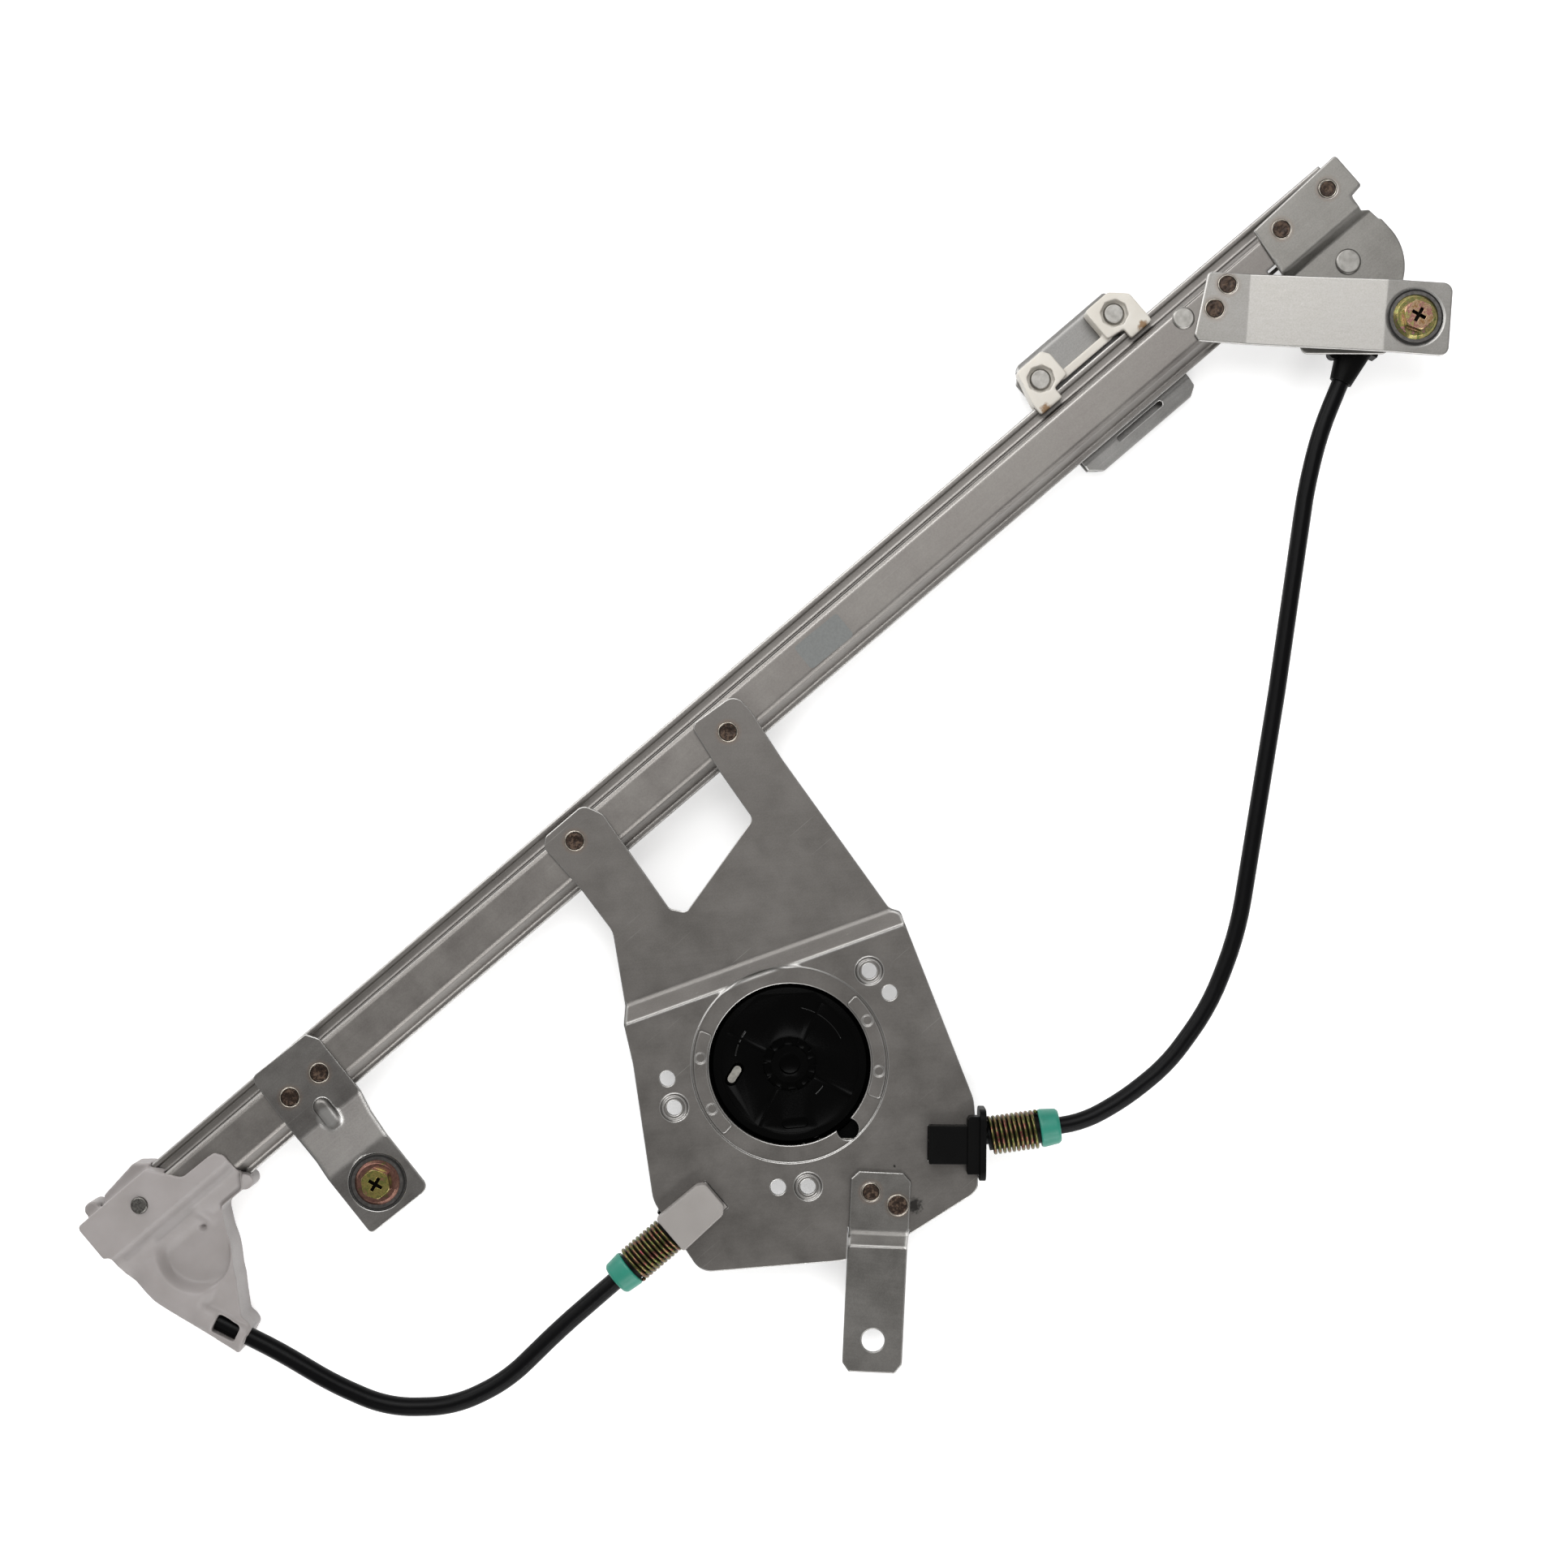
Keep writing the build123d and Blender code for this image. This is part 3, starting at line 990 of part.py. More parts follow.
def make_cable_windings():
    """Turns of cable in the drum's grooves, drawn as six-sided rings."""
    turns = []
    for i in range(DRUM_GROOVES):
        wire = Pos(DRUM_WRAP_R, FIRST_GROOVE + i * DRUM_GROOVE_PITCH) * RegularPolygon(CABLE_R, 6)
        turns.append(revolve(Plane.XZ * wire, Axis.Z))
    return turns


# Carriage
FOOT_A = (CARRIAGE_RIGHT - SHOE_FOOT_WIDTH, CARRIAGE_RIGHT)
FOOT_B = (CARRIAGE_LEFT, CARRIAGE_LEFT + SHOE_FOOT_WIDTH)
HEAD_A = (CARRIAGE_RIGHT - SHOE_HEAD_WIDTH, CARRIAGE_RIGHT)
HEAD_B = (CARRIAGE_LEFT, CARRIAGE_LEFT + SHOE_HEAD_WIDTH)
WINDOW_Y = RAIL_EDGE + 7.7
WINDOWS = ((HEAD_A[0] + 8.2, WINDOW_Y), (HEAD_B[0] + 8.6, WINDOW_Y - 0.8))
CLAMP_END = STOP_RIVET[0] - STOP_SHANK_R - STOP_PLAY
CLAMP_START = CLAMP_END - CLAMP_LENGTH
CLAMP_MIDDLE = (CLAMP_START + CLAMP_END) / 2
CLAMP_EDGE = CABLE_LINE - 1.4


def make_carrier_plate():
    """Sheet folded down along both edges. The one below the rail slopes and turns back under."""
    left, right = CARRIAGE_LEFT + 1.4, CARRIAGE_RIGHT - 1.6
    line = (
        (CARRIER_LIP + CARRIER_RETURN, CARRIER_RETURN_BACK),
        (CARRIER_LIP, CARRIER_RETURN_BACK),
        (CARRIER_LIP, CARRIER_FRONT - CARRIER_LIP_FALL),
        (CARRIER_LIP + 5.8, CARRIER_FRONT),
        (CARRIER_EDGE, CARRIER_FRONT),
        (CARRIER_EDGE, 0),
    )
    plate = extrude(across_rail(left) * bent_section(line, SHEET), right - left)
    plan = outline(
        (left + 5.6, CARRIER_EDGE, 1), (right - 4.0, CARRIER_EDGE, 1), (right, CARRIER_EDGE - 5.4, 1),
        (right, CARRIER_LIP + 2.4, 1), (right - 3.4, CARRIER_LIP, 1), (left + 5.2, CARRIER_LIP, 1),
        (left, CARRIER_LIP + 4.0, 1), (left, CARRIER_EDGE - 5.4, 1),
    )
    plate = plate & slab(plan, 0, 2 * CARRIER_FRONT)
    slot = Pos((left + right) / 2 + 1, CARRIER_LIP + 5.6) * SlotOverall(22, 2.2)
    plate -= slab(slot, CARRIER_FRONT - CARRIER_LIP_FALL, 2 * CARRIER_FRONT)
    for window in WINDOWS:
        plate -= rod(window, STOP_SHANK_R + SNUG, 0, 2 * CARRIER_FRONT)
    return plate


def make_slider_shoe():
    """Moulded shoe with two ears that grip the rail's wide flange."""
    gap = SLIDE_GAP
    shoe = Part()
    for head, foot in ((HEAD_A, FOOT_A), (HEAD_B, FOOT_B)):
        mirror_x = head is HEAD_B
        edges = [
            (head[0], SHOE_HEAD_EDGE, 1.5), (head[1] - 6, SHOE_HEAD_EDGE, 2), (head[1], SHOE_HEAD_EDGE - 5.6, 2),
            (head[1], SHOE_FOOT_EDGE, 1), (foot[0], SHOE_FOOT_EDGE, 0.6), (foot[0], RAIL_EDGE + 0.9, 0.6),
            (head[0], RAIL_EDGE + 1.9, 1),
        ]
        if mirror_x:
            edges = [
                (head[0] + 3.4, SHOE_HEAD_EDGE - 0.6, 1.5), (head[1] - 2, SHOE_HEAD_EDGE - 0.6, 1.5),
                (head[1], SHOE_HEAD_EDGE - 3.5, 1.5), (head[1], RAIL_EDGE + 1.9, 1), (foot[1], RAIL_EDGE + 0.9, 0.6),
                (foot[1], SHOE_FOOT_EDGE, 0.6), (head[0], SHOE_FOOT_EDGE, 1), (head[0], RAIL_EDGE + 1.5, 3),
            ]
        ear = slab(outline(*edges), CARRIER_FRONT, SHOE_FRONT)
        ear = fillet(ear.faces().sort_by(Axis.Z)[-1].edges(), 0.5)
        shoe += ear
    link = (HEAD_B[1] - 2, HEAD_A[0] + 2)
    shoe += bar((0, 0), 0, link, (RAIL_EDGE + 1.1, RAIL_EDGE + 4.3), (CARRIER_FRONT, SHOE_FRONT - 3))
    groove_levels = (FLANGE_FRONT - RAIL_SHEET - gap, FLANGE_FRONT + RAIL_SHEET + gap)
    shoe -= bar((0, 0), 0, (CARRIAGE_LEFT - 1, CARRIAGE_RIGHT + 1), (WEB_RIGHT, RAIL_EDGE + gap), groove_levels)
    for window in WINDOWS:
        recess = Pos(*window) * RegularPolygon(SHOE_WINDOW_R, 8)
        shoe -= slab(recess, SHOE_FRONT - SHOE_WINDOW_DEPTH, 2 * SHOE_FRONT)
        shoe -= rod(window, STOP_SHANK_R + SNUG, 0, SHOE_FRONT)
    return shoe


def make_carriage_rivets():
    rivets = []
    back = CARRIER_FRONT - SHEET
    for window in WINDOWS:
        floor = SHOE_FRONT - SHOE_WINDOW_DEPTH
        head = rod(window, SHOE_RIVET_R, floor, floor + SHOE_RIVET_HEIGHT)
        head = chamfer(head.edges().sort_by(Axis.Z)[-1], 0.6)
        rivet = head + rod(window, STOP_SHANK_R, back - 0.5, floor + 1)
        rivets.append(rivet + rod(window, SHOE_RIVET_R, back - 1.4, back))
    return rivets


def make_cable_clamp():
    """Block in the rail's hollow that takes the cable's two nipples from its open side."""
    start, end = CLAMP_START, CLAMP_END
    plan = outline(
        (start, CLAMP_EDGE, 1), (end, CLAMP_EDGE, 1), (end, CLAMP_EDGE + CLAMP_WIDTH, 2),
        (start, CLAMP_EDGE + CLAMP_WIDTH, 2),
    )
    block = slab(plan, CARRIER_FRONT, CLAMP_TOP)
    block -= bar((0, 0), 0, (start - 1, end + 1), (CABLE_LINE - 10, CABLE_LINE),
                 (CABLE_LEVEL - CABLE_PASS_R, CABLE_LEVEL + CABLE_PASS_R))
    block -= lying_rod((0, CABLE_LINE), 0, CABLE_LEVEL, CABLE_PASS_R, (start - 1, end + 1))
    pocket = NIPPLE_R + SNUG
    for low in (start, end - NIPPLE_LENGTH):
        block -= lying_rod((0, CABLE_LINE), 0, CABLE_LEVEL, pocket, (low - 0.1, low + NIPPLE_LENGTH + 0.1))
        block -= bar((0, 0), 0, (low - 0.1, low + NIPPLE_LENGTH + 0.1), (CABLE_LINE - 10, CABLE_LINE),
                     (CABLE_LEVEL - pocket, CABLE_LEVEL + pocket))
    return block


def make_cable_nipples():
    start, end = CLAMP_START, CLAMP_END
    nipples = []
    for low in (start, end - NIPPLE_LENGTH):
        barrel = lying_rod((0, CABLE_LINE), 0, CABLE_LEVEL, NIPPLE_R, (low, low + NIPPLE_LENGTH))
        nipples.append(barrel - lying_rod((0, CABLE_LINE), 0, CABLE_LEVEL, CABLE_PASS_R, (low - 1, low + 7)))
    return nipples


def save(name, shape):
    """Write one node. A list is a group of separate solids."""
    if isinstance(shape, (list, tuple)):
        solids = [solid for piece in shape for solid in piece.solids()]
        shape = Compound(children=solids) if len(solids) > 1 else solids[0]
    export_step(shape, f"parts/{name}.step")


os.makedirs("parts", exist_ok=True)
save("guide_rail", make_guide_rail())
save("motor_plate", make_motor_plate())
save("housing_retainers", make_housing_retainers())
save("tab_bracket", make_tab_bracket())
save("upper_bracket", make_upper_bracket())
save("lower_bracket", make_lower_bracket())
save("plug_welds", make_plug_welds())
save("door_screws", make_door_screws())
save("screw_washers", make_screw_washers())
save("weld_nuts", make_weld_nuts())
save("pulley_plate", make_pulley_plate())
save("pulley_axle", make_pulley_axle())
save("upper_pulley", make_upper_pulley())
save("upper_conduit_holder", make_conduit_holder())
save("bottom_guide", make_bottom_guide())
save("guide_rivet", make_guide_rivet())
save("stop_rivet", make_stop_rivet())
save("lower_conduit_cap", make_lower_cap())
save("upper_conduit_cap", make_upper_cap())
save("lower_spring", make_spring(LOWER_MOUTH, 180))
save("upper_spring", make_spring(UPPER_SPRING_START, UPPER_CONDUIT_ANGLE))
save("lower_bush", make_bush(LOWER_MOUTH, 180))
save("upper_bush", make_bush(UPPER_SPRING_START, UPPER_CONDUIT_ANGLE))
save("lower_conduit", make_lower_conduit())
save("upper_conduit", make_upper_conduit())
save("lift_cable", make_lift_cable())
save("drum_leads", make_drum_leads())
save("drum_housing", make_drum_housing())
save("cable_drum", make_cable_drum())
save("drum_nipple", make_drum_nipple())
save("cable_windings", make_cable_windings())
save("carrier_plate", make_carrier_plate())
save("slider_shoe", make_slider_shoe())
save("carriage_rivets", make_carriage_rivets())
save("cable_clamp", make_cable_clamp())
save("cable_nipples", make_cable_nipples())
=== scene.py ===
import math

import bpy
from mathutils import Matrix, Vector


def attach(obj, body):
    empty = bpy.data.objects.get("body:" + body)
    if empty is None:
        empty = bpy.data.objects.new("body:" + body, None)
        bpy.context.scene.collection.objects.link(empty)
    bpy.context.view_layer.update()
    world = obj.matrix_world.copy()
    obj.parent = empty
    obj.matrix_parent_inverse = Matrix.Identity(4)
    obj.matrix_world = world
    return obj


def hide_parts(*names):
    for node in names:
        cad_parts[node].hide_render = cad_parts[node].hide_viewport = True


# Window regulator, dressed and photographed from straight above.
# Sizes and places are in millimetres and meet Blender's metres through MM, unless a comment says otherwise.
MM = 0.001

# The photograph's view: straight down, with the rail rising to the right
VIEW_CENTRE = (66.9, 81.5)
RAIL_TURN = math.radians(40.55)
WEB_LEVEL = 25.0
CAMERA_DISTANCE = 1050.0
FIELD_WIDTH = 585.5
SENSOR_WIDTH = 36.0

# Lamps: place to the photograph's right, up and above it, width and depth, all in metres, and watts
LAMPS = (
    ("window_light", (-0.5, 0.95, 1.35), (1.5, 0.8), 12.0),
    ("room_light", (-0.02, 0.62, 1.5), (0.9, 0.8), 7.0),
    ("side_light", (-1.2, 1.1, 0.55), (0.9, 0.6), 9.0),
    ("low_light", (0.6, -1.4, 0.5), (1.6, 0.5), 12.0),
    ("front_strip", (0.45, -1.05, 1.2), (1.5, 0.16), 8.0),
)
SKY_LIGHT = 0.42
FLOOR_GLOW = 0.38
FLOOR_WIDTH = 6000.0
FLOOR_LEVEL = -0.05

# Screws: places of both, their heads and the recess in them, and the black ring on each washer
UPPER_SCREW = (356.9, 60.9)
LOWER_SCREW = (-143.3, 67.3)
HEAD_R = 5.0
HEAD_TOP = 39.6
RECESS_R = 4.4
SCREW_SEAT = 33.4
DARK_RING_LIFT = 1.0
DARK_RING_R = 9.85
DARK_RING_WIRE_R = 0.36

# Plug welds: middle, level of the sheet round them, radius, and the turn of each in degrees
WELDS = (
    ((63.6, 109.8), 26.5, 3.3, 20), ((-6.2, 116.1), 26.5, 3.4, 140),
    ((313.8, 115.5), 26.5, 3.2, 65), ((304.3, 111.7), 26.5, 3.3, 200),
    ((-134.9, 112.3), 26.5, 3.4, 100), ((-149.1, 112.5), 26.5, 3.4, 250),
    ((365.3, 118.4), 26.5, 3.0, 310), ((342.4, 118.1), 26.5, 3.3, 10),
    ((-7.8, -55.9), 21.0, 3.1, 170), ((-3.4, -66.2), 21.0, 3.7, 280),
)
WELD_LIFT = 0.02
WELD_DEPTH = 0.8
WELD_SINK = 0.28
# Each step of a weld's top: how far in, and how far up
WELD_STEPS = ((0.45, -0.22), (0.8, 0.12), (0.9, -0.14))
CRUST_UNEVENNESS = 0.16
FIRST_CRUST_SEED = 3
LIP_GAP = 0.25
LIP_WIRE_R = 0.24
LIP_FLATNESS = 0.6
LIP_UNEVENNESS = 0.09
FIRST_LIP_SEED = 20
# The heat mark round a weld fades from its edge to the halo's radius
WELD_EDGE = 3.4
HALO_R = 5.4

# Springs: node, start and heading in degrees, then what both share
SPRINGS = (("lower_spring", (-75.1, -19.0), 180.0), ("upper_spring", (39.13, -68.79), -32.4))
SPRING_LEVEL = 18.0
SPRING_R = 6.7
SPRING_WIRE_R = 0.7
SPRING_LENGTH = 19.6
SPRING_TURNS = 10.3
STEPS_PER_TURN = 28
# A black tube in each spring stands for the shade between its turns
SHADE_SLEEVE_R = 5.5
SHADE_SLEEVE_WALL = 2.2

# Drum: the windows round its hub, and the arcs on its face by radius, start, sweep and half thickness
DRUM_CENTRE = (0.0, 0.0)
DRUM_FACE = 15.2
HUB_WINDOWS = 10
HUB_WINDOW_SIZE = (3.3, 3.7, 6.0)
HUB_WINDOW_R = 8.5
HUB_WINDOW_LEVEL = 15.4
FIRST_HUB_WINDOW = 41.45
DRUM_ARCS = (
    (20.7, 103, 13, 0.55), (20.7, 119, 12, 0.45),
    (21.5, -14, 52, 0.2), (15.0, -90, 16, 0.2), (26.6, 128, 30, 0.3),
)

# Rolled rims round the motor screw holes
MOTOR_HOLE_ANGLES = (9.2, 159.8, 238.0)
MOTOR_HOLE_CIRCLE = 46.2
RIM_R = 4.3
RIM_WIRE_R = 0.75
RIM_LEVEL = 19.9

# Front of the lower guide: levels of its moulded forms and places of their middles
GUIDE_FLOOR = 18.8
GUIDE_COVER = 26.0
GUIDE_DISH = (-213.1, 91.3)
DISH_REACH = 17.0
RIDGE_R = 18.0
RIDGE_HEIGHT = 5.2
PIN_HOLE = (-207.2, 96.9)
PIN_HOLE_DEPTH = 2.4
TONGUE = (-203.4, 99.0)
TONGUE_HALF_WIDTH = 2.6
TONGUE_HEIGHT = 1.8
# Its front is reshaped above this level, short of the cover and clear of the conduit's exit
FRONT_LEVEL = 17.2
FRONT_END = 109.0
CONDUIT_EXIT = (-221.2, 55.2)
EXIT_HEADING = math.radians(-67)
EXIT_CLEAR = 17.0
WAIST_DEPTH = 5.0
WAIST_END = 112.0

# Blank label on the rail's web
LABEL_PLACE = (112.9, 112.3)
LABEL_SIZE = (20.5, 10.6, 0.12)
LABEL_CORNER = 1.3
LABEL_LIFT = 0.06
LABEL_TURN = -1.3

# Stand-ins on the frame that have only softened edges, with the width of each edge
SOFT_EDGES = (
    ("housing_retainers", 0.3), ("tab_bracket", 0.4), ("upper_bracket", 0.4), ("pulley_plate", 0.4),
    ("guide_rail", 0.4), ("upper_conduit_cap", 0.3), ("lower_bush", 0.3), ("upper_bush", 0.3),
    ("stop_rivet", 0.2), ("pulley_axle", 0.2), ("guide_rivet", 0.2),
)
EDGE_ANGLE = math.radians(30)
ROUND_ANGLE = math.radians(40)
DRUM_ROUND_ANGLE = math.radians(35)

# Natural acetal lets a little light in, and all its pieces share one skin
NATURAL_ACETAL = {"roughness": 0.45, "specular": 0.4, "glow": 0.15}

# Grease stains, spots of painted shadow and spots of painted highlight: middle and reach of each
# Painted shadow beside the tab, on the motor plate
TAB_SHADOW_SPOTS = (((1.2, -70.4), 2.6), ((5.1, -54.4), 0.5))
SHOE_STAINS = (((272.0, 124.2), 2.0), ((281.0, 124.6), 2.2), ((233.2, 124.4), 2.4))
# Painted highlight on the lower bracket's bead
BEAD_HIGHLIGHT_SPOT = (((-143.3, 97.5), 4.6),)

# Colours that lie over a finish: real marks, and painted highlight and painted shadow
SCUFFED_ZINC = "#C9C8C4"
BEND_HIGHLIGHT_ZINC = "#BDBCBA"
HEAT_TINT = "#7A6250"
# Tone of the painted shadow
PAINTED_SHADOW_TONE = "#1E1D1C"
GREASE = "#7C5A2E"
RECESS_SHADE = "#15120E"


def linear(colour):
    """sRGB hex to the linear values that shaders take."""
    parts = [int(colour[i:i + 2], 16) / 255 for i in (1, 3, 5)]
    return tuple(c / 12.92 if c <= 0.04045 else ((c + 0.055) / 1.055) ** 2.4 for c in parts) + (1.0,)


# Tools for building a material
def add(tree, kind, settings=None):
    """One node. A setting is a property, or an input by name or number, with its value or a socket."""
    node = tree.nodes.new(kind)
    for name, value in (settings or {}).items():
        if isinstance(name, str) and name not in node.inputs:
            setattr(node, name, value)
        elif isinstance(value, bpy.types.NodeSocket):
            tree.links.new(value, node.inputs[name])
        else:
            node.inputs[name].default_value = value
    return node


def new_material(name):
    """Material with an empty node tree."""
    material = bpy.data.materials.new(name)
    material.use_nodes = True
    tree = material.node_tree
    tree.nodes.clear()
    return material, tree


def surface(material, settings):
    """Give a material its surface, and hand it back finished."""
    tree = material.node_tree
    shader = add(tree, "ShaderNodeBsdfPrincipled", settings)
    add(tree, "ShaderNodeOutputMaterial", {"Surface": shader.outputs[0]})
    return material


def object_place(tree):
    """Where each point of the piece lies."""
    return add(tree, "ShaderNodeTexCoord").outputs["Object"]


def mapped(tree, vector, settings):
    """A place that is moved, turned or scaled."""
    return add(tree, "ShaderNodeMapping", {"Vector": vector, **settings}).outputs[0]


def coordinate(tree, vector, axis):
    """One coordinate of a place."""
    return add(tree, "ShaderNodeSeparateXYZ", {"Vector": vector}).outputs[axis]


def calc(tree, operation, *values):
    """Arithmetic on values or sockets."""
    return add(tree, "ShaderNodeMath", {"operation": operation, **dict(enumerate(values))}).outputs[0]


def span(tree, value, low, high, start=0.0, end=1.0):
    """Value carried from one range to another, held at its ends."""
    limits = {"From Min": low, "From Max": high, "To Min": start, "To Max": end}
    return add(tree, "ShaderNodeMapRange", {"Value": value, **limits}).outputs[0]


def ramp(tree, source, stops):
    """Colours along a value between 0 and 1."""
    node = add(tree, "ShaderNodeValToRGB", {"Fac": source})
    elements = node.color_ramp.elements
    while len(elements) < len(stops):
        elements.new(0.5)
    for element, (place, colour) in zip(elements, stops):
        element.position = place
        element.color = linear(colour)
    return node.outputs["Color"]


def blend_colours(tree, share, first, second):
    """First colour, turning to the second as the share goes to 1. A colour is a socket or a hex."""
    first, second = (linear(colour) if isinstance(colour, str) else colour for colour in (first, second))
    return add(tree, "ShaderNodeMix", {"data_type": "RGBA", 0: share, 6: first, 7: second}).outputs[2]


def scaled_noise(tree, vector, size, detail=3.0, roughness=0.5):
    """Noise whose patches are about the given number of millimetres across."""
    pattern = {"Scale": 1 / (size * MM), "Detail": detail, "Roughness": roughness}
    return add(tree, "ShaderNodeTexNoise", {"Vector": vector, **pattern}).outputs["Fac"]


def distance_to(tree, vector, centre):
    """Distance in the plan from a place."""
    flat = mapped(tree, vector, {"Location": (-centre[0] * MM, -centre[1] * MM, 0), "Scale": (1, 1, 0)})
    return add(tree, "ShaderNodeVectorMath", {"operation": "LENGTH", 0: flat}).outputs["Value"]


def bump(tree, height, strength, depth, **onto):
    """Fine relief of a given depth, on the piece's own surface or onto another normal."""
    settings = {"Height": height, "Strength": strength, "Distance": depth * MM}
    return add(tree, "ShaderNodeBump", {**settings, **onto}).outputs[0]


def blots(tree, place, colour, spots, tint, grain, fray, limits, most):
    """Blots of a tint over a colour, each with its middle and its reach.

    Noise frays them inwards by a multiple of the reach, and the limits are the two distances, again in
    reaches, between which the tint comes in.
    """
    for centre, reach in spots:
        noise = scaled_noise(tree, place, grain, 4.0)
        away = calc(tree, "MULTIPLY_ADD", noise, -fray * reach * MM, distance_to(tree, place, centre))
        share = span(tree, away, limits[0] * reach * MM, limits[1] * reach * MM, 0.0, most)
        colour = blend_colours(tree, share, colour, tint)
    return colour


# Parts of the zinc sheet
def weld_haloes(tree, place, colour, centres):
    """Straw-coloured marks of heat round the welds."""
    for centre in centres:
        near = span(tree, distance_to(tree, place, centre), HALO_R * MM, WELD_EDGE * MM, 0.0, 0.75)
        halo = calc(tree, "MULTIPLY", near, scaled_noise(tree, place, 2.2))
        colour = blend_colours(tree, halo, colour, HEAT_TINT)
    return colour


def corner_radius(tree, place, rounding, fold):
    """How round the corners are drawn, which is more along a joggle's bends than on cut edges.

    A fold is the heading across the joggle in degrees, its middle along that line, and half its width.
    """
    if not fold:
        return rounding * MM
    heading, middle, half = fold
    across = coordinate(tree, mapped(tree, place, {"Rotation": (0, 0, -math.radians(heading))}), "X")
    off = calc(tree, "ABSOLUTE", calc(tree, "SUBTRACT", across, middle * MM))
    near = span(tree, off, (half + 2.2) * MM, (half + 1.0) * MM)
    return calc(tree, "MULTIPLY_ADD", near, 1.4 * MM, rounding * MM)


def painted_highlight_share(tree, place, corners, highlight_spots):
    """Share of painted highlight on the sheet: most on its bends and at the listed spots, none where it is
    flat.
    """
    flat = add(tree, "ShaderNodeNewGeometry").outputs["True Normal"]
    product = add(tree, "ShaderNodeVectorMath", {"operation": "DOT_PRODUCT", 0: corners, 1: flat})
    likeness = product.outputs["Value"]
    bent = span(tree, likeness, 0.999, 0.975)
    not_too_sharp = span(tree, likeness, 0.8, 0.9, 0.35, 1.0)
    highlight_share = calc(tree, "MINIMUM", bent, not_too_sharp)
    for centre, reach in highlight_spots:
        lit_spot = span(tree, distance_to(tree, place, centre), reach * MM, 0.6 * reach * MM)
        highlight_share = calc(tree, "MAXIMUM", highlight_share, lit_spot)
    return highlight_share


def zinc_sheet(name, dark, light, grain=0, roughness=0.42, rounding=0.7, welds=(), shadow_spots=(), highlight_spots=(),
               fold=None):
    """Cold-rolled steel strip, electro-galvanised.

    The coating makes a dull light-grey metal with fine pale specks and soft clouds. Rolling leaves hardly
    visible lines along the strip, handling leaves a few hair-thin scuffs, and welding leaves straw-coloured
    halos. The grain turns the lines and the clouds, in degrees.
    """
    material, tree = new_material(name)
    place = object_place(tree)
    heading = math.radians(grain)
    turned = mapped(tree, place, {"Rotation": (0, 0, heading)})
    rolling = scaled_noise(tree, mapped(tree, turned, {"Scale": (0.03, 1, 1)}), 0.9, 2.0)
    clouds = scaled_noise(tree, turned, 17, 4.0, 0.6)
    # Zinc crystals of 0.1 mm are drawn as specks of 0.5 mm, so that they show
    specks = scaled_noise(tree, place, 0.55, 2.0)
    mixed = calc(tree, "MULTIPLY_ADD", specks, 0.55, calc(tree, "MULTIPLY_ADD", rolling, 0.2, clouds))
    colour = ramp(tree, span(tree, mixed, 0.6, 1.15), ((0.0, dark), (1.0, light)))
    scuff_lines = mapped(tree, place, {"Rotation": (0, 0, heading + 1.1), "Scale": (0.012, 1, 1)})
    scuffs = span(tree, scaled_noise(tree, scuff_lines, 0.5, 1.0), 0.73, 0.82, 0.0, 0.2)
    colour = blend_colours(tree, scuffs, colour, SCUFFED_ZINC)
    colour = weld_haloes(tree, place, colour, welds)
    # Painted shadow: dark spots at the listed places, beside the tab on the motor plate
    colour = blots(tree, place, colour, shadow_spots, PAINTED_SHADOW_TONE, 1.3, 2.2, (0.2, -0.5), 0.85)
    # Pressed corners of 0.2 mm are drawn rounder, so that they catch the light at this size
    radius = corner_radius(tree, place, rounding, fold)
    corners = add(tree, "ShaderNodeBevel", {"samples": 8, "Radius": radius}).outputs[0]
    # Painted highlight: bends and the listed spots are drawn lighter than flat sheet, and smoother
    highlight_share = painted_highlight_share(tree, place, corners, highlight_spots)
    colour = blend_colours(tree, calc(tree, "MULTIPLY", highlight_share, 0.75), colour, BEND_HIGHLIGHT_ZINC)
    rough = span(tree, clouds, 0.3, 0.7, roughness - 0.05, roughness + 0.06)
    rough = calc(tree, "MULTIPLY_ADD", highlight_share, -0.12, rough)
    normal = bump(tree, mixed, 0.25, 0.012, Normal=corners)
    return surface(material, {"Metallic": 1.0, "Base Color": colour, "Roughness": rough, "Normal": normal})


def moulded_plastic(name, colour, shade, roughness, specular, glow=0.0, stains=()):
    """Injection-moulded plastic: nearly even colour, and a satin skin with a very fine grain.

    Light that goes in and comes out again is its glow, and grease leaves brown stains.
    """
    material, tree = new_material(name)
    place = object_place(tree)
    base = ramp(tree, scaled_noise(tree, place, 12), ((0.3, shade), (0.7, colour)))
    base = blots(tree, place, base, stains, GREASE, 1.6, 1.6, (0.3, -0.3), 0.9)
    skin = scaled_noise(tree, place, 0.5, 2.0)
    rough = span(tree, skin, 0.3, 0.7, roughness - 0.05, roughness + 0.07)
    settings = {"IOR": 1.48, "Specular IOR Level": specular, "Base Color": base, "Roughness": rough,
                "Normal": bump(tree, skin, 0.2, 0.015)}
    if glow:
        settings["Subsurface Weight"] = glow
        settings["Subsurface Radius"] = (1.0, 0.9, 0.8)
        settings["Subsurface Scale"] = 2.0 * MM
    return surface(material, settings)


def chromated_wire(name):
    """Yellow-chromated spring wire: a metal whose thin film drifts between gold, green and rose."""
    material, tree = new_material(name)
    drift = scaled_noise(tree, object_place(tree), 2.4, 3.0, 0.6)
    film = ramp(tree, drift, ((0.3, "#56292C"), (0.42, "#755846"), (0.5, "#44522A"), (0.58, "#6C6440"),
                              (0.68, "#74383F")))
    return surface(material, {"Metallic": 1.0, "Roughness": 0.3, "Base Color": film})


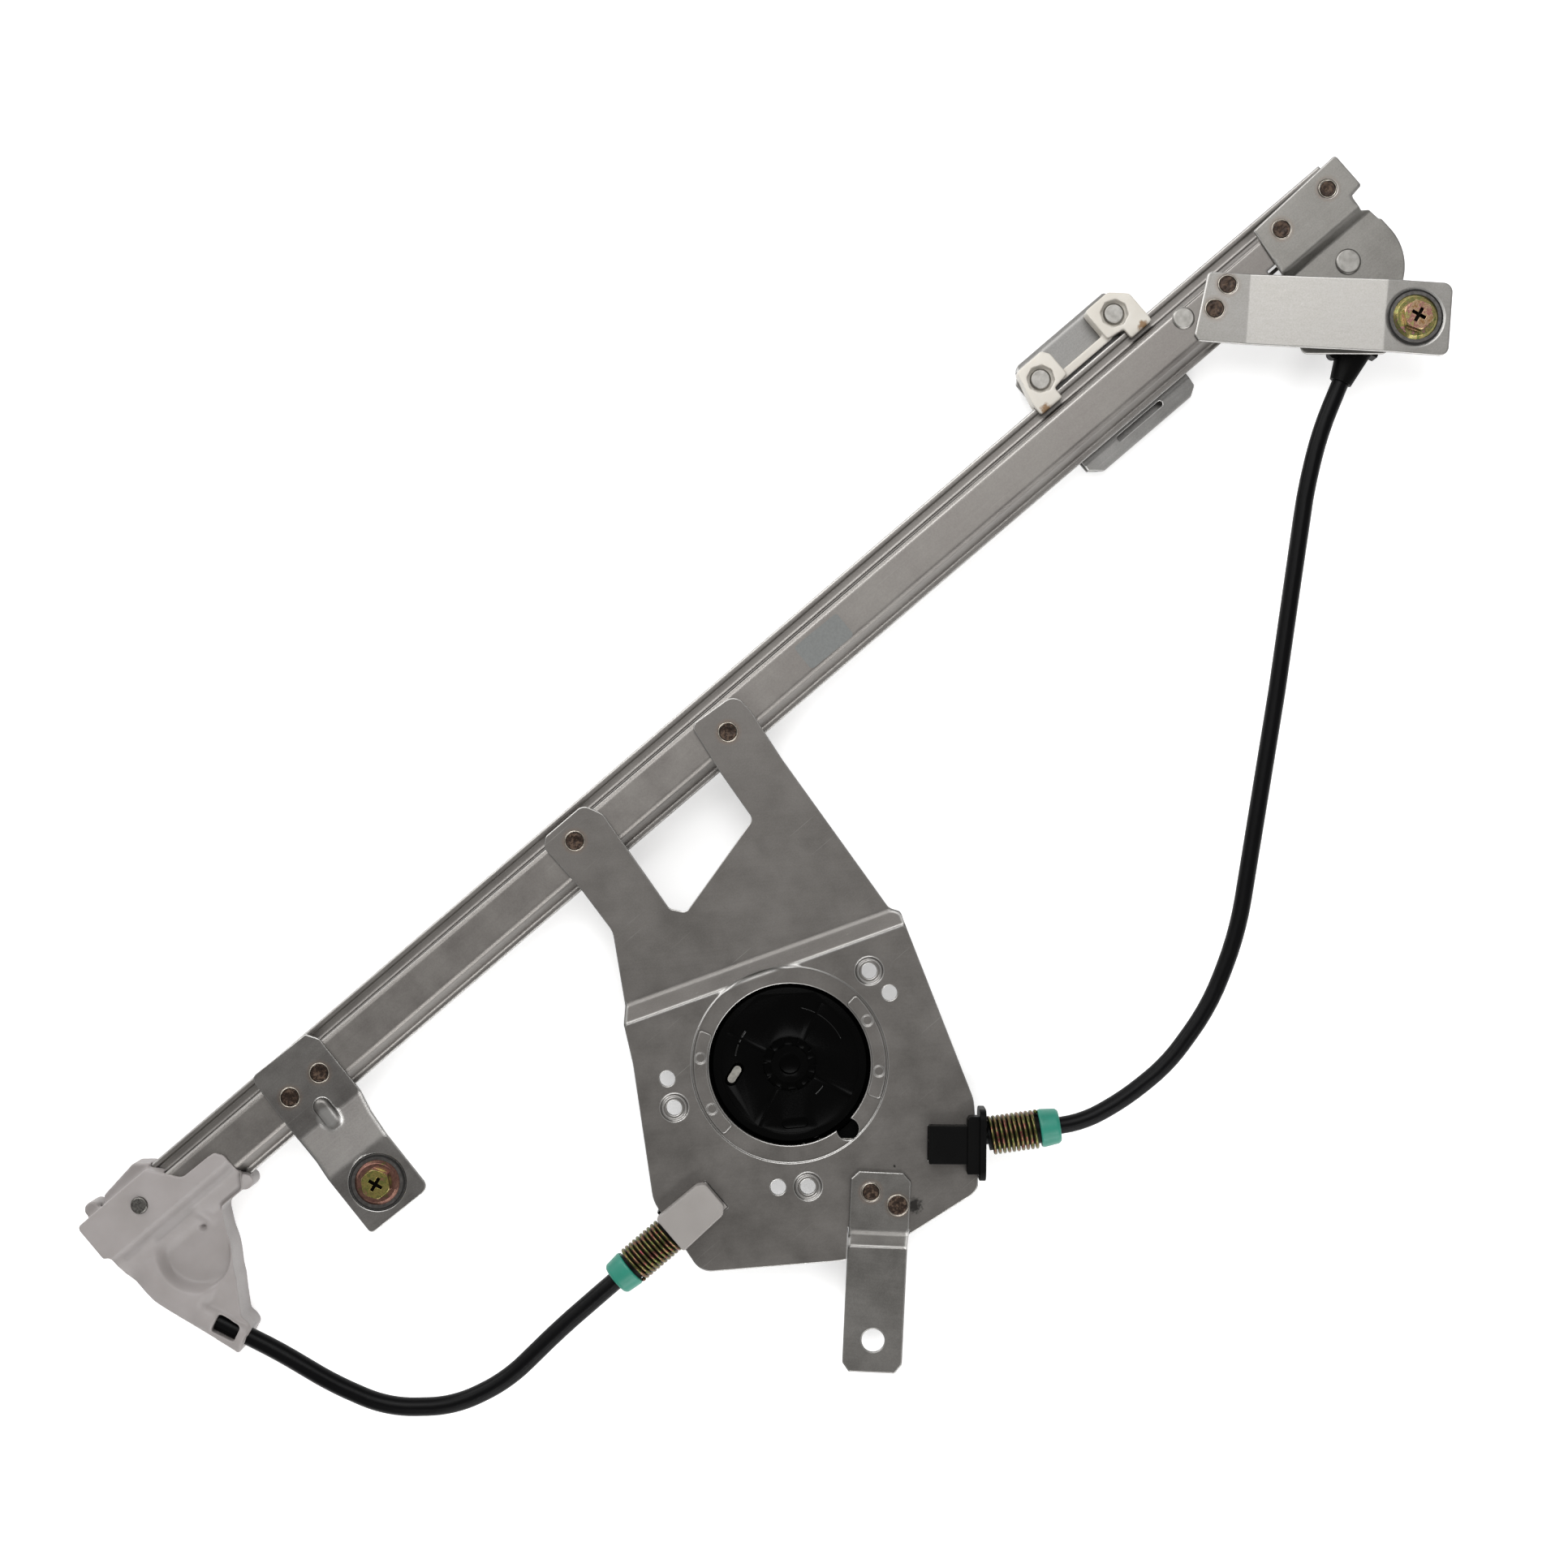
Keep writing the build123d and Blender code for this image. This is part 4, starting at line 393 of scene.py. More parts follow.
def screw_plating(name, centre, cap_tints, flange_tints):
    """Yellow-chromated screw: one film on its head, another on its flange, and painted shade, near black, in
    its recess.
    """
    material, tree = new_material(name)
    place = object_place(tree)
    away = distance_to(tree, place, centre)
    drift = scaled_noise(tree, place, 2.6, 4.0, 0.65)
    stops = (0.34, 0.46, 0.56, 0.68)
    cap, flange = (ramp(tree, drift, tuple(zip(stops, tints))) for tints in (cap_tints, flange_tints))
    colour = blend_colours(tree, span(tree, away, HEAD_R * MM, (HEAD_R + 0.7) * MM), cap, flange)
    # Painted shade: the recess below the head's top is drawn near black
    below_top = span(tree, coordinate(tree, place, "Z"), HEAD_TOP * MM, (HEAD_TOP - 1.0) * MM)
    in_recess = span(tree, away, RECESS_R * MM, (RECESS_R - 0.4) * MM)
    recess_shade = calc(tree, "MULTIPLY", below_top, in_recess)
    colour = blend_colours(tree, recess_shade, colour, RECESS_SHADE)
    return surface(material, {"Metallic": 1.0, "Roughness": 0.22, "Base Color": colour,
                              "Normal": bump(tree, drift, 0.3, 0.05)})


def burnt_weld(name):
    """Weld metal, oxidised dark brown, with a few lighter, duller crumbs of slag."""
    material, tree = new_material(name)
    crust = scaled_noise(tree, object_place(tree), 1.5, 5.0, 0.7)
    colour = ramp(tree, crust, ((0.3, "#120D0A"), (0.5, "#33261E"), (0.62, "#5A493C"), (0.72, "#261C18")))
    rough = span(tree, crust, 0.5, 0.62, 0.3, 0.6)
    return surface(material, {"Metallic": 0.6, "Base Color": colour, "Roughness": rough,
                              "Normal": bump(tree, crust, 0.6, 0.25)})


def plain_metal(name, dark, light, patch, roughness):
    """Bare steel or wire with a slightly uneven tarnish."""
    material, tree = new_material(name)
    tarnish = scaled_noise(tree, object_place(tree), patch, 4.0)
    colour = ramp(tree, tarnish, ((0.3, dark), (0.7, light)))
    return surface(material, {"Metallic": 1.0, "Roughness": roughness, "Base Color": colour,
                              "Normal": bump(tree, tarnish, 0.2, 0.03)})


def label_film(name):
    """Matt film of a printed label, blank: a thin pale skin, slightly cooler than the zinc below it."""
    material, tree = new_material(name)
    fibres = scaled_noise(tree, object_place(tree), 0.8)
    colour = ramp(tree, fibres, ((0.3, "#696B6A"), (0.7, "#727473")))
    return surface(material, {"Roughness": 0.5, "Specular IOR Level": 0.3, "Base Color": colour,
                              "Normal": bump(tree, fibres, 0.15, 0.02)})


def zinc_finishes():
    """Every sheet-metal finish, with the nodes that wear it."""
    centres = [weld[0] for weld in WELDS]
    # These copies of one galvanised zinc differ in tone as painted light: the upper bracket and pulley plate
    # are painted lighter, and the motor plate, tab and lower bracket darker
    rail = zinc_sheet("galvanised_rail_strip", "#736F6C", "#83807C", rounding=1.0)
    plate = zinc_sheet("galvanised_motor_plate", "#676461", "#74716E", grain=35, roughness=0.44,
                       welds=centres[:2], shadow_spots=TAB_SHADOW_SPOTS, fold=(-111, -38.5, 3.0))
    tab = zinc_sheet("galvanised_tab", "#666461", "#7B7976", grain=47, welds=centres[8:],
                     fold=(-132, 64.6, 2.5))
    upper = zinc_sheet("galvanised_upper_bracket", "#84827E", "#9B9996", grain=45, welds=centres[2:4])
    lower = zinc_sheet("galvanised_lower_bracket", "#656260", "#797774", roughness=0.4, welds=centres[4:6],
                       highlight_spots=BEAD_HIGHLIGHT_SPOT, fold=(88, 83.4, 8.4))
    pulley = zinc_sheet("galvanised_pulley_plate", "#787672", "#8E8C88", welds=centres[6:8],
                        fold=(-89, -103.3, 1.0))
    carrier = zinc_sheet("galvanised_carrier_sheet", "#6F6E6C", "#888785")
    return {
        rail: ("guide_rail",),
        plate: ("motor_plate", "housing_retainers"),
        tab: ("tab_bracket",),
        upper: ("upper_bracket", "weld_nuts"),
        lower: ("lower_bracket",),
        pulley: ("pulley_plate",),
        carrier: ("carrier_plate",),
    }


def dress(black):
    """Give every CAD node its finish. The springs' shade sleeves share the black one, so it is made outside.
    """
    # The guide's and the cap's copies of the one natural acetal are painted darker than the shoe's, as
    # painted shade
    guide_acetal_shaded = moulded_plastic("acetal_natural_guide", "#969190", "#8D8886", **NATURAL_ACETAL)
    cap_acetal_shaded = moulded_plastic("acetal_natural_cap", "#918D8A", "#8A8683", **NATURAL_ACETAL)
    shoe_white = moulded_plastic("acetal_natural_shoe", "#D2CEC6", "#C7C2B9", **NATURAL_ACETAL,
                                 stains=SHOE_STAINS)
    drum_black = moulded_plastic("black_acetal_drum", "#020202", "#010101", roughness=0.2, specular=0.07)
    teal = moulded_plastic("teal_acetal", "#2A816F", "#247563", roughness=0.38, specular=0.4)
    sheath = moulded_plastic("black_polyethylene_sheath", "#060607", "#040405", roughness=0.34, specular=0.1)
    steel = plain_metal("rivet_steel", "#868480", "#A09E9A", patch=2.2, roughness=0.42)
    wire = plain_metal("oiled_cable_wire", "#4A4846", "#7D7B77", patch=0.6, roughness=0.38)
    nipple = plain_metal("die_cast_nipple", "#9A9892", "#BDBAB2", patch=1.2, roughness=0.35)
    finishes = {
        **zinc_finishes(),
        nipple: ("drum_nipple", "cable_nipples"),
        guide_acetal_shaded: ("bottom_guide", "cable_clamp", "upper_pulley"),
        cap_acetal_shaded: ("lower_conduit_cap",),
        shoe_white: ("slider_shoe",),
        black: ("upper_conduit_holder", "upper_conduit_cap", "drum_housing"),
        drum_black: ("cable_drum",),
        teal: ("lower_bush", "upper_bush"),
        sheath: ("lower_conduit", "upper_conduit"),
        steel: ("pulley_axle", "stop_rivet", "carriage_rivets", "screw_washers", "door_screws"),
        wire: ("guide_rivet", "lift_cable", "drum_leads", "cable_windings"),
    }
    for material, nodes in finishes.items():
        for node in nodes:
            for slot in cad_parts[node].material_slots:
                slot.material = material


# Tools for shaping a piece
def pick(piece):
    """Only this piece selected."""
    bpy.ops.object.select_all(action="DESELECT")
    piece.select_set(True)
    bpy.context.view_layer.objects.active = piece


def edit(piece):
    """Open the mesh of a piece, all of it selected."""
    pick(piece)
    bpy.ops.object.mode_set(mode="EDIT")
    bpy.ops.mesh.select_all(action="SELECT")


def choose(piece, test):
    """In edit mode, select the faces whose normal passes a test."""
    bpy.ops.mesh.select_mode(type="FACE")
    bpy.ops.mesh.select_all(action="DESELECT")
    bpy.ops.object.mode_set(mode="OBJECT")
    for face in piece.data.polygons:
        face.select = test(face.normal)
    bpy.ops.object.mode_set(mode="EDIT")


def made(operator, **settings):
    """New primitive, with its place and turn made part of its mesh."""
    bpy.ops.object.select_all(action="DESELECT")
    operator(**settings)
    bpy.ops.object.transform_apply(location=True, rotation=True, scale=True)
    return bpy.context.object


def finish_with(piece, kind, **settings):
    """Add a modifier and make it part of the mesh."""
    pick(piece)
    modifier = piece.modifiers.new(kind.lower(), kind)
    for name, value in settings.items():
        setattr(modifier, name, value)
    bpy.ops.object.modifier_apply(modifier=modifier.name)


def put(piece, place, level, turn=0.0, tip=0.0):
    """Lay a piece made at the origin at its place in the plan, and make that part of the mesh."""
    pick(piece)
    piece.location = (place[0] * MM, place[1] * MM, level * MM)
    piece.rotation_euler = (0, math.radians(tip), math.radians(turn))
    bpy.ops.object.transform_apply(location=True, rotation=True, scale=True)


def recoat(piece, *finishes):
    """Give a piece these finishes and no others."""
    piece.data.materials.clear()
    for finish in finishes:
        piece.data.materials.append(finish)


def joined(name, pieces):
    """Several like pieces as one."""
    bpy.ops.object.select_all(action="DESELECT")
    for piece in pieces:
        piece.select_set(True)
    bpy.context.view_layer.objects.active = pieces[0]
    bpy.ops.object.join()
    pieces[0].name = name
    return pieces[0]


def merged_copy(node, name):
    """Copy of a solid's mesh with its loose triangles joined and its flat faces whole."""
    piece = bpy.data.objects.new(name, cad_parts[node].data.copy())
    bpy.context.collection.objects.link(piece)
    edit(piece)
    bpy.ops.mesh.remove_doubles(threshold=0.004 * MM)
    bpy.ops.mesh.dissolve_limited(angle_limit=math.radians(0.8))
    bpy.ops.object.mode_set(mode="OBJECT")
    bpy.ops.mesh.customdata_custom_splitnormals_clear()
    return piece


# Stand-ins made from the solids
def soften(node, width, body="frame", tight=False, even=True, ending="_finished"):
    """Stand-in for a pressed or moulded piece, with its edges broken as stamping or moulding leaves them.

    A tight one keeps its edges from running into each other, and an even one is shaded smooth all over.
    """
    piece = merged_copy(node, node + ending)
    finish_with(piece, "BEVEL", width=width * MM, segments=2, limit_method="ANGLE", angle_limit=EDGE_ANGLE,
                use_clamp_overlap=tight)
    if even:
        bpy.ops.object.shade_smooth()
        finish_with(piece, "WEIGHTED_NORMAL", keep_sharp=False)
    else:
        bpy.ops.object.shade_smooth_by_angle(angle=DRUM_ROUND_ANGLE)
    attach(piece, body)
    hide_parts(node)
    return piece


def thicken(node, by):
    """Stand-in for a conduit, as thick as its sheath looks in the photograph."""
    piece = merged_copy(node, node + "_sheathed")
    finish_with(piece, "DISPLACE", strength=by * MM, mid_level=0.0)
    bpy.ops.object.shade_smooth_by_angle(angle=ROUND_ANGLE)
    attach(piece, "frame")
    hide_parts(node)


def mould(node, voxel, passes, body, shaping=None):
    """Stand-in for a moulded piece, with the soft inner and outer corners that a mould gives."""
    piece = merged_copy(node, node + "_moulded")
    finish_with(piece, "REMESH", mode="VOXEL", voxel_size=voxel * MM, use_smooth_shade=True)
    if shaping:
        shaping(piece)
    finish_with(piece, "SMOOTH", factor=0.5, iterations=passes)
    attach(piece, body)
    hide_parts(node)


def ease(value, low, high):
    """Smooth step from 0 at the low end to 1 at the high end."""
    share = min(1.0, max(0.0, (value - low) / (high - low)))
    return share * share * (3 - 2 * share)


def from_dish(x, y):
    """Distance from the middle of the guide's dish."""
    return math.hypot(x - GUIDE_DISH[0], y - GUIDE_DISH[1])


def guide_height(x, y):
    """Front of the guide's body: a dish inside a C-shaped cable ridge, rising into the cover."""
    away = from_dish(x, y)
    angle = math.degrees(math.atan2(y - GUIDE_DISH[1], x - GUIDE_DISH[0])) % 360
    # The ridge's inner flank is steep and its outer one long, and both ends of the C run out
    flank = ease(away, 12.2, 16.4) if away < RIDGE_R else 1 - 0.6 * ease(away, 19.0, 30.0)
    ridge = flank * ease(angle, 120, 150) * (1 - ease(angle, 286, 300))
    in_hole = 1 - ease(math.hypot(x - PIN_HOLE[0], y - PIN_HOLE[1]), 0.5, 1.4)
    level = GUIDE_FLOOR + RIDGE_HEIGHT * ridge - PIN_HOLE_DEPTH * in_hole
    off_tongue = abs(x - TONGUE[0] + 0.1 * (y - TONGUE[1])) / TONGUE_HALF_WIDTH
    tongue = max(0.0, 1 - off_tongue) * ease(y, 93.5, 100)
    level += TONGUE_HEIGHT * tongue * (1 - ridge)
    return level + (GUIDE_COVER - level) * ease(y, 97.0, 108.0)


def shape_guide(piece):
    """Moulded forms on the guide's front, and its waist drawn in along the edge that faces the motor."""
    upward = [vertex.normal.z for vertex in piece.data.vertices]
    for vertex in piece.data.vertices:
        x, y, z = (value / MM for value in vertex.co)
        from_exit = ((CONDUIT_EXIT[0] - x) * math.cos(EXIT_HEADING)
                     + (CONDUIT_EXIT[1] - y) * math.sin(EXIT_HEADING))
        faces_up = upward[vertex.index] > 0.1 or from_dish(x, y) < DISH_REACH
        right, up = on_image(x, y)
        if z > FRONT_LEVEL and y < FRONT_END and from_exit > EXIT_CLEAR and faces_up:
            z += (guide_height(x, y) - z) * ease(from_exit, EXIT_CLEAR, EXIT_CLEAR + 5)
        # How far the waist reaches to the right and up in the photograph
        if y < WAIST_END:
            pull = WAIST_DEPTH * ease(right, -209, -199) * ease(up, -205, -199) * (1 - ease(up, -163, -155))
            x -= pull * math.cos(RAIL_TURN)
            y += pull * math.sin(RAIL_TURN)
        vertex.co = (x * MM, y * MM, z * MM)
    piece.data.update()


def cut_hub_windows(drum):
    """Windows round the drum's hub, with thin ribs between them."""
    cutters = []
    for number in range(HUB_WINDOWS):
        cutter = made(bpy.ops.mesh.primitive_cube_add, size=1, scale=[side * MM for side in HUB_WINDOW_SIZE],
                      location=(HUB_WINDOW_R * MM, 0, 0))
        put(cutter, DRUM_CENTRE, HUB_WINDOW_LEVEL, FIRST_HUB_WINDOW + 360 / HUB_WINDOWS * number)
        cutters.append(cutter)
    cutter = joined("hub_windows", cutters)
    finish_with(drum, "BOOLEAN", operation="DIFFERENCE", object=cutter, solver="EXACT")
    bpy.data.objects.remove(cutter)


# Pieces of the scene's own
def wire_section(radius, wire_radius):
    """Upright circle beside the origin, ready to be swept round it."""
    return made(bpy.ops.mesh.primitive_circle_add, vertices=10, radius=wire_radius * MM,
                location=(radius * MM, 0, 0), rotation=(math.radians(90), 0, 0))


def bead(radius, start, sweep, half_thickness, place, level):
    """Rounded bead along an arc, or a full ring, lying in the plan. The angles are in degrees."""
    piece = wire_section(radius, half_thickness)
    edit(piece)
    steps = max(24, int(sweep / 6))
    bpy.ops.mesh.spin(steps=steps, angle=-math.radians(sweep), center=(0, 0, 0), axis=(0, 0, 1))
    bpy.ops.mesh.select_all(action="SELECT")
    bpy.ops.mesh.remove_doubles(threshold=0.01 * MM)
    bpy.ops.mesh.fill_holes(sides=0)
    bpy.ops.mesh.normals_make_consistent(inside=False)
    bpy.ops.object.mode_set(mode="OBJECT")
    bpy.ops.object.shade_smooth()
    put(piece, place, level, start)
    return piece


def make_drum_arcs(finish):
    """Low arcs on the drum's face: two thick ones beside the nipple and three thin ones."""
    arcs = [bead(*arc, DRUM_CENTRE, DRUM_FACE) for arc in DRUM_ARCS]
    ribs = joined("drum_face_ribs", arcs)
    recoat(ribs, finish)
    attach(ribs, "drum")


def make_motor_rims(finish):
    """Rolled rims round the three motor screw holes."""
    rims = []
    for angle in map(math.radians, MOTOR_HOLE_ANGLES):
        place = (MOTOR_HOLE_CIRCLE * math.cos(angle), MOTOR_HOLE_CIRCLE * math.sin(angle))
        rims.append(bead(RIM_R, 0, 360, RIM_WIRE_R, place, RIM_LEVEL))
    rim = joined("motor_boss_rims", rims)
    recoat(rim, finish)
    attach(rim, "frame")


def wind_spring(node, start, heading, finish):
    """Stand-in for a close-wound spring, with each turn of its wire."""
    wire = wire_section(SPRING_R, SPRING_WIRE_R)
    steps = int(STEPS_PER_TURN * SPRING_TURNS)
    rise = (SPRING_LENGTH - 2 * SPRING_WIRE_R) / SPRING_TURNS
    finish_with(wire, "SCREW", axis="Z", angle=2 * math.pi * SPRING_TURNS, steps=steps, render_steps=steps,
                screw_offset=rise * MM * SPRING_TURNS, use_smooth_shade=True)
    edit(wire)
    bpy.ops.mesh.fill_holes(sides=0)
    bpy.ops.mesh.normals_make_consistent(inside=False)
    bpy.ops.transform.translate(value=(0, 0, SPRING_WIRE_R * MM))
    bpy.ops.object.mode_set(mode="OBJECT")
    wire.name = node + "_wound"
    recoat(wire, finish)
    put(wire, start, SPRING_LEVEL, heading, 90)
    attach(wire, "frame")
    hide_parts(node)


def make_shade_sleeve(node, start, heading, finish):
    """Black tube inside a spring, put there as painted shade between its turns: a tube with open ends."""
    sleeve = made(bpy.ops.mesh.primitive_cylinder_add, vertices=40, radius=SHADE_SLEEVE_R * MM,
                  depth=SPRING_LENGTH * MM, location=(0, 0, SPRING_LENGTH / 2 * MM))
    sleeve.name = node + "_sleeve"
    edit(sleeve)
    choose(sleeve, lambda normal: abs(normal.z) > 0.9)
    bpy.ops.mesh.inset(thickness=SHADE_SLEEVE_WALL * MM)
    bpy.ops.mesh.delete(type="FACE")
    bpy.ops.mesh.select_all(action="SELECT")
    bpy.ops.mesh.normals_make_consistent(inside=False)
    bpy.ops.object.mode_set(mode="OBJECT")
    recoat(sleeve, finish)
    bpy.ops.object.shade_smooth_by_angle(angle=ROUND_ANGLE)
    put(sleeve, start, SPRING_LEVEL, heading, 90)
    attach(sleeve, "frame")


def make_weld_button(radius, seed, finish):
    """Crusted button of weld metal, sunk in its middle, at the origin."""
    button = made(bpy.ops.mesh.primitive_cylinder_add, vertices=14, radius=radius * MM, depth=WELD_DEPTH * MM,
                  location=(0, 0, -WELD_SINK * MM))
    edit(button)
    choose(button, lambda normal: normal.z > 0.9)
    for inset, rise in WELD_STEPS:
        bpy.ops.mesh.inset(thickness=inset * MM)
        bpy.ops.transform.translate(value=(0, 0, rise * MM))
    bpy.ops.mesh.select_all(action="SELECT")
    bpy.ops.transform.vertex_random(offset=CRUST_UNEVENNESS * MM, seed=seed)
    bpy.ops.object.mode_set(mode="OBJECT")
    finish_with(button, "SUBSURF", levels=2, render_levels=2)
    bpy.ops.object.shade_smooth()
    recoat(button, finish)
    return button


def make_weld_lip(radius, seed, finish):
    """Thin uneven lip of sheet, drawn up round a weld, at the origin."""
    lip = made(bpy.ops.mesh.primitive_torus_add, major_segments=40, minor_segments=8,
               major_radius=(radius + LIP_GAP) * MM, minor_radius=LIP_WIRE_R * MM)
    edit(lip)
    bpy.ops.transform.resize(value=(1, 1, LIP_FLATNESS))
    bpy.ops.transform.vertex_random(offset=LIP_UNEVENNESS * MM, seed=seed)
    bpy.ops.object.mode_set(mode="OBJECT")
    bpy.ops.object.shade_smooth()
    recoat(lip, finish)
    return lip


def make_welds():
    """Plug welds: a crusted button in each hole, inside a thin raised lip of sheet."""
    crust = burnt_weld("oxidised_weld_metal")
    # The raised lip is real; its metal is painted lighter than the sheet round it, as painted highlight
    lip_highlight_metal = plain_metal("lip_sheet_highlit", "#8A8278", "#B4AEA4", patch=1.4, roughness=0.32)
    buttons, lips = [], []
    for number, (place, level, radius, turn) in enumerate(WELDS):
        buttons.append(make_weld_button(radius, FIRST_CRUST_SEED + number, crust))
        put(buttons[-1], place, level + WELD_LIFT, turn)
        lips.append(make_weld_lip(radius, FIRST_LIP_SEED + number, lip_highlight_metal))
        put(lips[-1], place, level + WELD_LIFT, turn)
    welds = joined("plug_welds_crusted", buttons)
    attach(welds, "frame")
    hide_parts("plug_welds")
    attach(joined("plug_weld_lips", lips), "frame")


def make_screws():
    """Both screws with softened edges, each in its own plating."""
    screws = soften("door_screws", 0.18, tight=True, ending="_plated")
    upper = screw_plating("yellow_chromate_upper_screw", UPPER_SCREW,
                          ("#A07A55", "#B89F80", "#A87070", "#A3A064"),
                          ("#5C6838", "#9A8A5C", "#767D48", "#A3737A"))
    lower = screw_plating("yellow_chromate_lower_screw", LOWER_SCREW,
                          ("#8F8450", "#A89A5C", "#7D8448", "#A88266"),
                          ("#6E4F48", "#8C6A5C", "#7A5550", "#6A6640"))
    recoat(screws, upper, lower)
    for face in screws.data.polygons:
        face.material_index = 0 if face.center.x > 0 else 1


def make_washers():
    """Dark washers under the screws, with a black ring on each."""
    ring_black = moulded_plastic("black_washer_ring", "#191817", "#121211", roughness=0.6, specular=0.3)
    washer_zinc = plain_metal("zinc_washer", "#4E4C4B", "#6A6866", patch=1.5, roughness=0.35)
    dark_rings = []
    for place in (UPPER_SCREW, LOWER_SCREW):
        dark_ring = made(bpy.ops.mesh.primitive_torus_add, major_segments=72, minor_segments=12,
                    major_radius=DARK_RING_R * MM, minor_radius=DARK_RING_WIRE_R * MM)
        bpy.ops.object.shade_smooth()
        recoat(dark_ring, ring_black)
        put(dark_ring, place, SCREW_SEAT + DARK_RING_LIFT)
        dark_rings.append(dark_ring)
    recoat(soften("screw_washers", 0.25, tight=True), washer_zinc)
    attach(joined("washer_dark_rings", dark_rings), "frame")


def make_label():
    """Blank label on the rail's web, a thin film with rounded corners."""
    label = made(bpy.ops.mesh.primitive_cube_add, size=1, scale=[side * MM for side in LABEL_SIZE])
    edit(label)
    bpy.ops.mesh.select_mode(type="EDGE")
    bpy.ops.mesh.select_all(action="DESELECT")
    bpy.ops.object.mode_set(mode="OBJECT")
    points = label.data.vertices
    for edge in label.data.edges:
        first, second = (points[index].co for index in edge.vertices)
        edge.select = abs(first.z - second.z) > LABEL_SIZE[2] / 2 * MM
    bpy.ops.object.mode_set(mode="EDIT")
    bpy.ops.mesh.bevel(offset=LABEL_CORNER * MM, segments=5)
    bpy.ops.mesh.select_mode(type="FACE")
    bpy.ops.object.mode_set(mode="OBJECT")
    bpy.ops.object.shade_smooth_by_angle(angle=ROUND_ANGLE)
    label.name = "blank_label"
    recoat(label, label_film("label_film"))
    put(label, LABEL_PLACE, WEB_LEVEL + LABEL_LIFT, LABEL_TURN)
    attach(label, "frame")


# The photograph's view and light
def on_image(x, y):
    """How far a place lies to the right and up in the photograph, from the middle of its view."""
    x, y = x - VIEW_CENTRE[0], y - VIEW_CENTRE[1]
    right = x * math.cos(RAIL_TURN) - y * math.sin(RAIL_TURN)
    up = x * math.sin(RAIL_TURN) + y * math.cos(RAIL_TURN)
    return right, up


def from_image(right, up, height):
    """The same the other way round, for a lamp: metres in, and a place of the scene out."""
    x = VIEW_CENTRE[0] * MM + right * math.cos(RAIL_TURN) + up * math.sin(RAIL_TURN)
    y = VIEW_CENTRE[1] * MM - right * math.sin(RAIL_TURN) + up * math.cos(RAIL_TURN)
    return Vector((x, y, height))


def add_lamp(name, place, sides, power):
    """Soft rectangular lamp, turned to the middle of the view."""
    data = bpy.data.lights.new(name, "AREA")
    data.shape = "RECTANGLE"
    data.size, data.size_y = sides
    data.energy = power
    lamp = bpy.data.objects.new(name, data)
    bpy.context.collection.objects.link(lamp)
    lamp.location = from_image(*place)
    lamp.rotation_euler = (lamp.location - from_image(0, 0, 0)).to_track_quat("Z", "Y").to_euler()


def light_scene():
    """Soft studio: a pale sky, at full strength only to the camera, and the lamps."""
    world = bpy.data.worlds.new("soft_studio")
    world.use_nodes = True
    tree = world.node_tree
    tree.nodes.clear()
    seen = add(tree, "ShaderNodeLightPath").outputs["Is Camera Ray"]
    strength = calc(tree, "MULTIPLY_ADD", seen, 1 - SKY_LIGHT, SKY_LIGHT)
    sky = add(tree, "ShaderNodeBackground", {"Color": linear("#F4F3F1"), "Strength": strength})
    add(tree, "ShaderNodeOutputWorld", {"Surface": sky.outputs[0]})
    bpy.context.scene.world = world
    for lamp in LAMPS:
        add_lamp(*lamp)


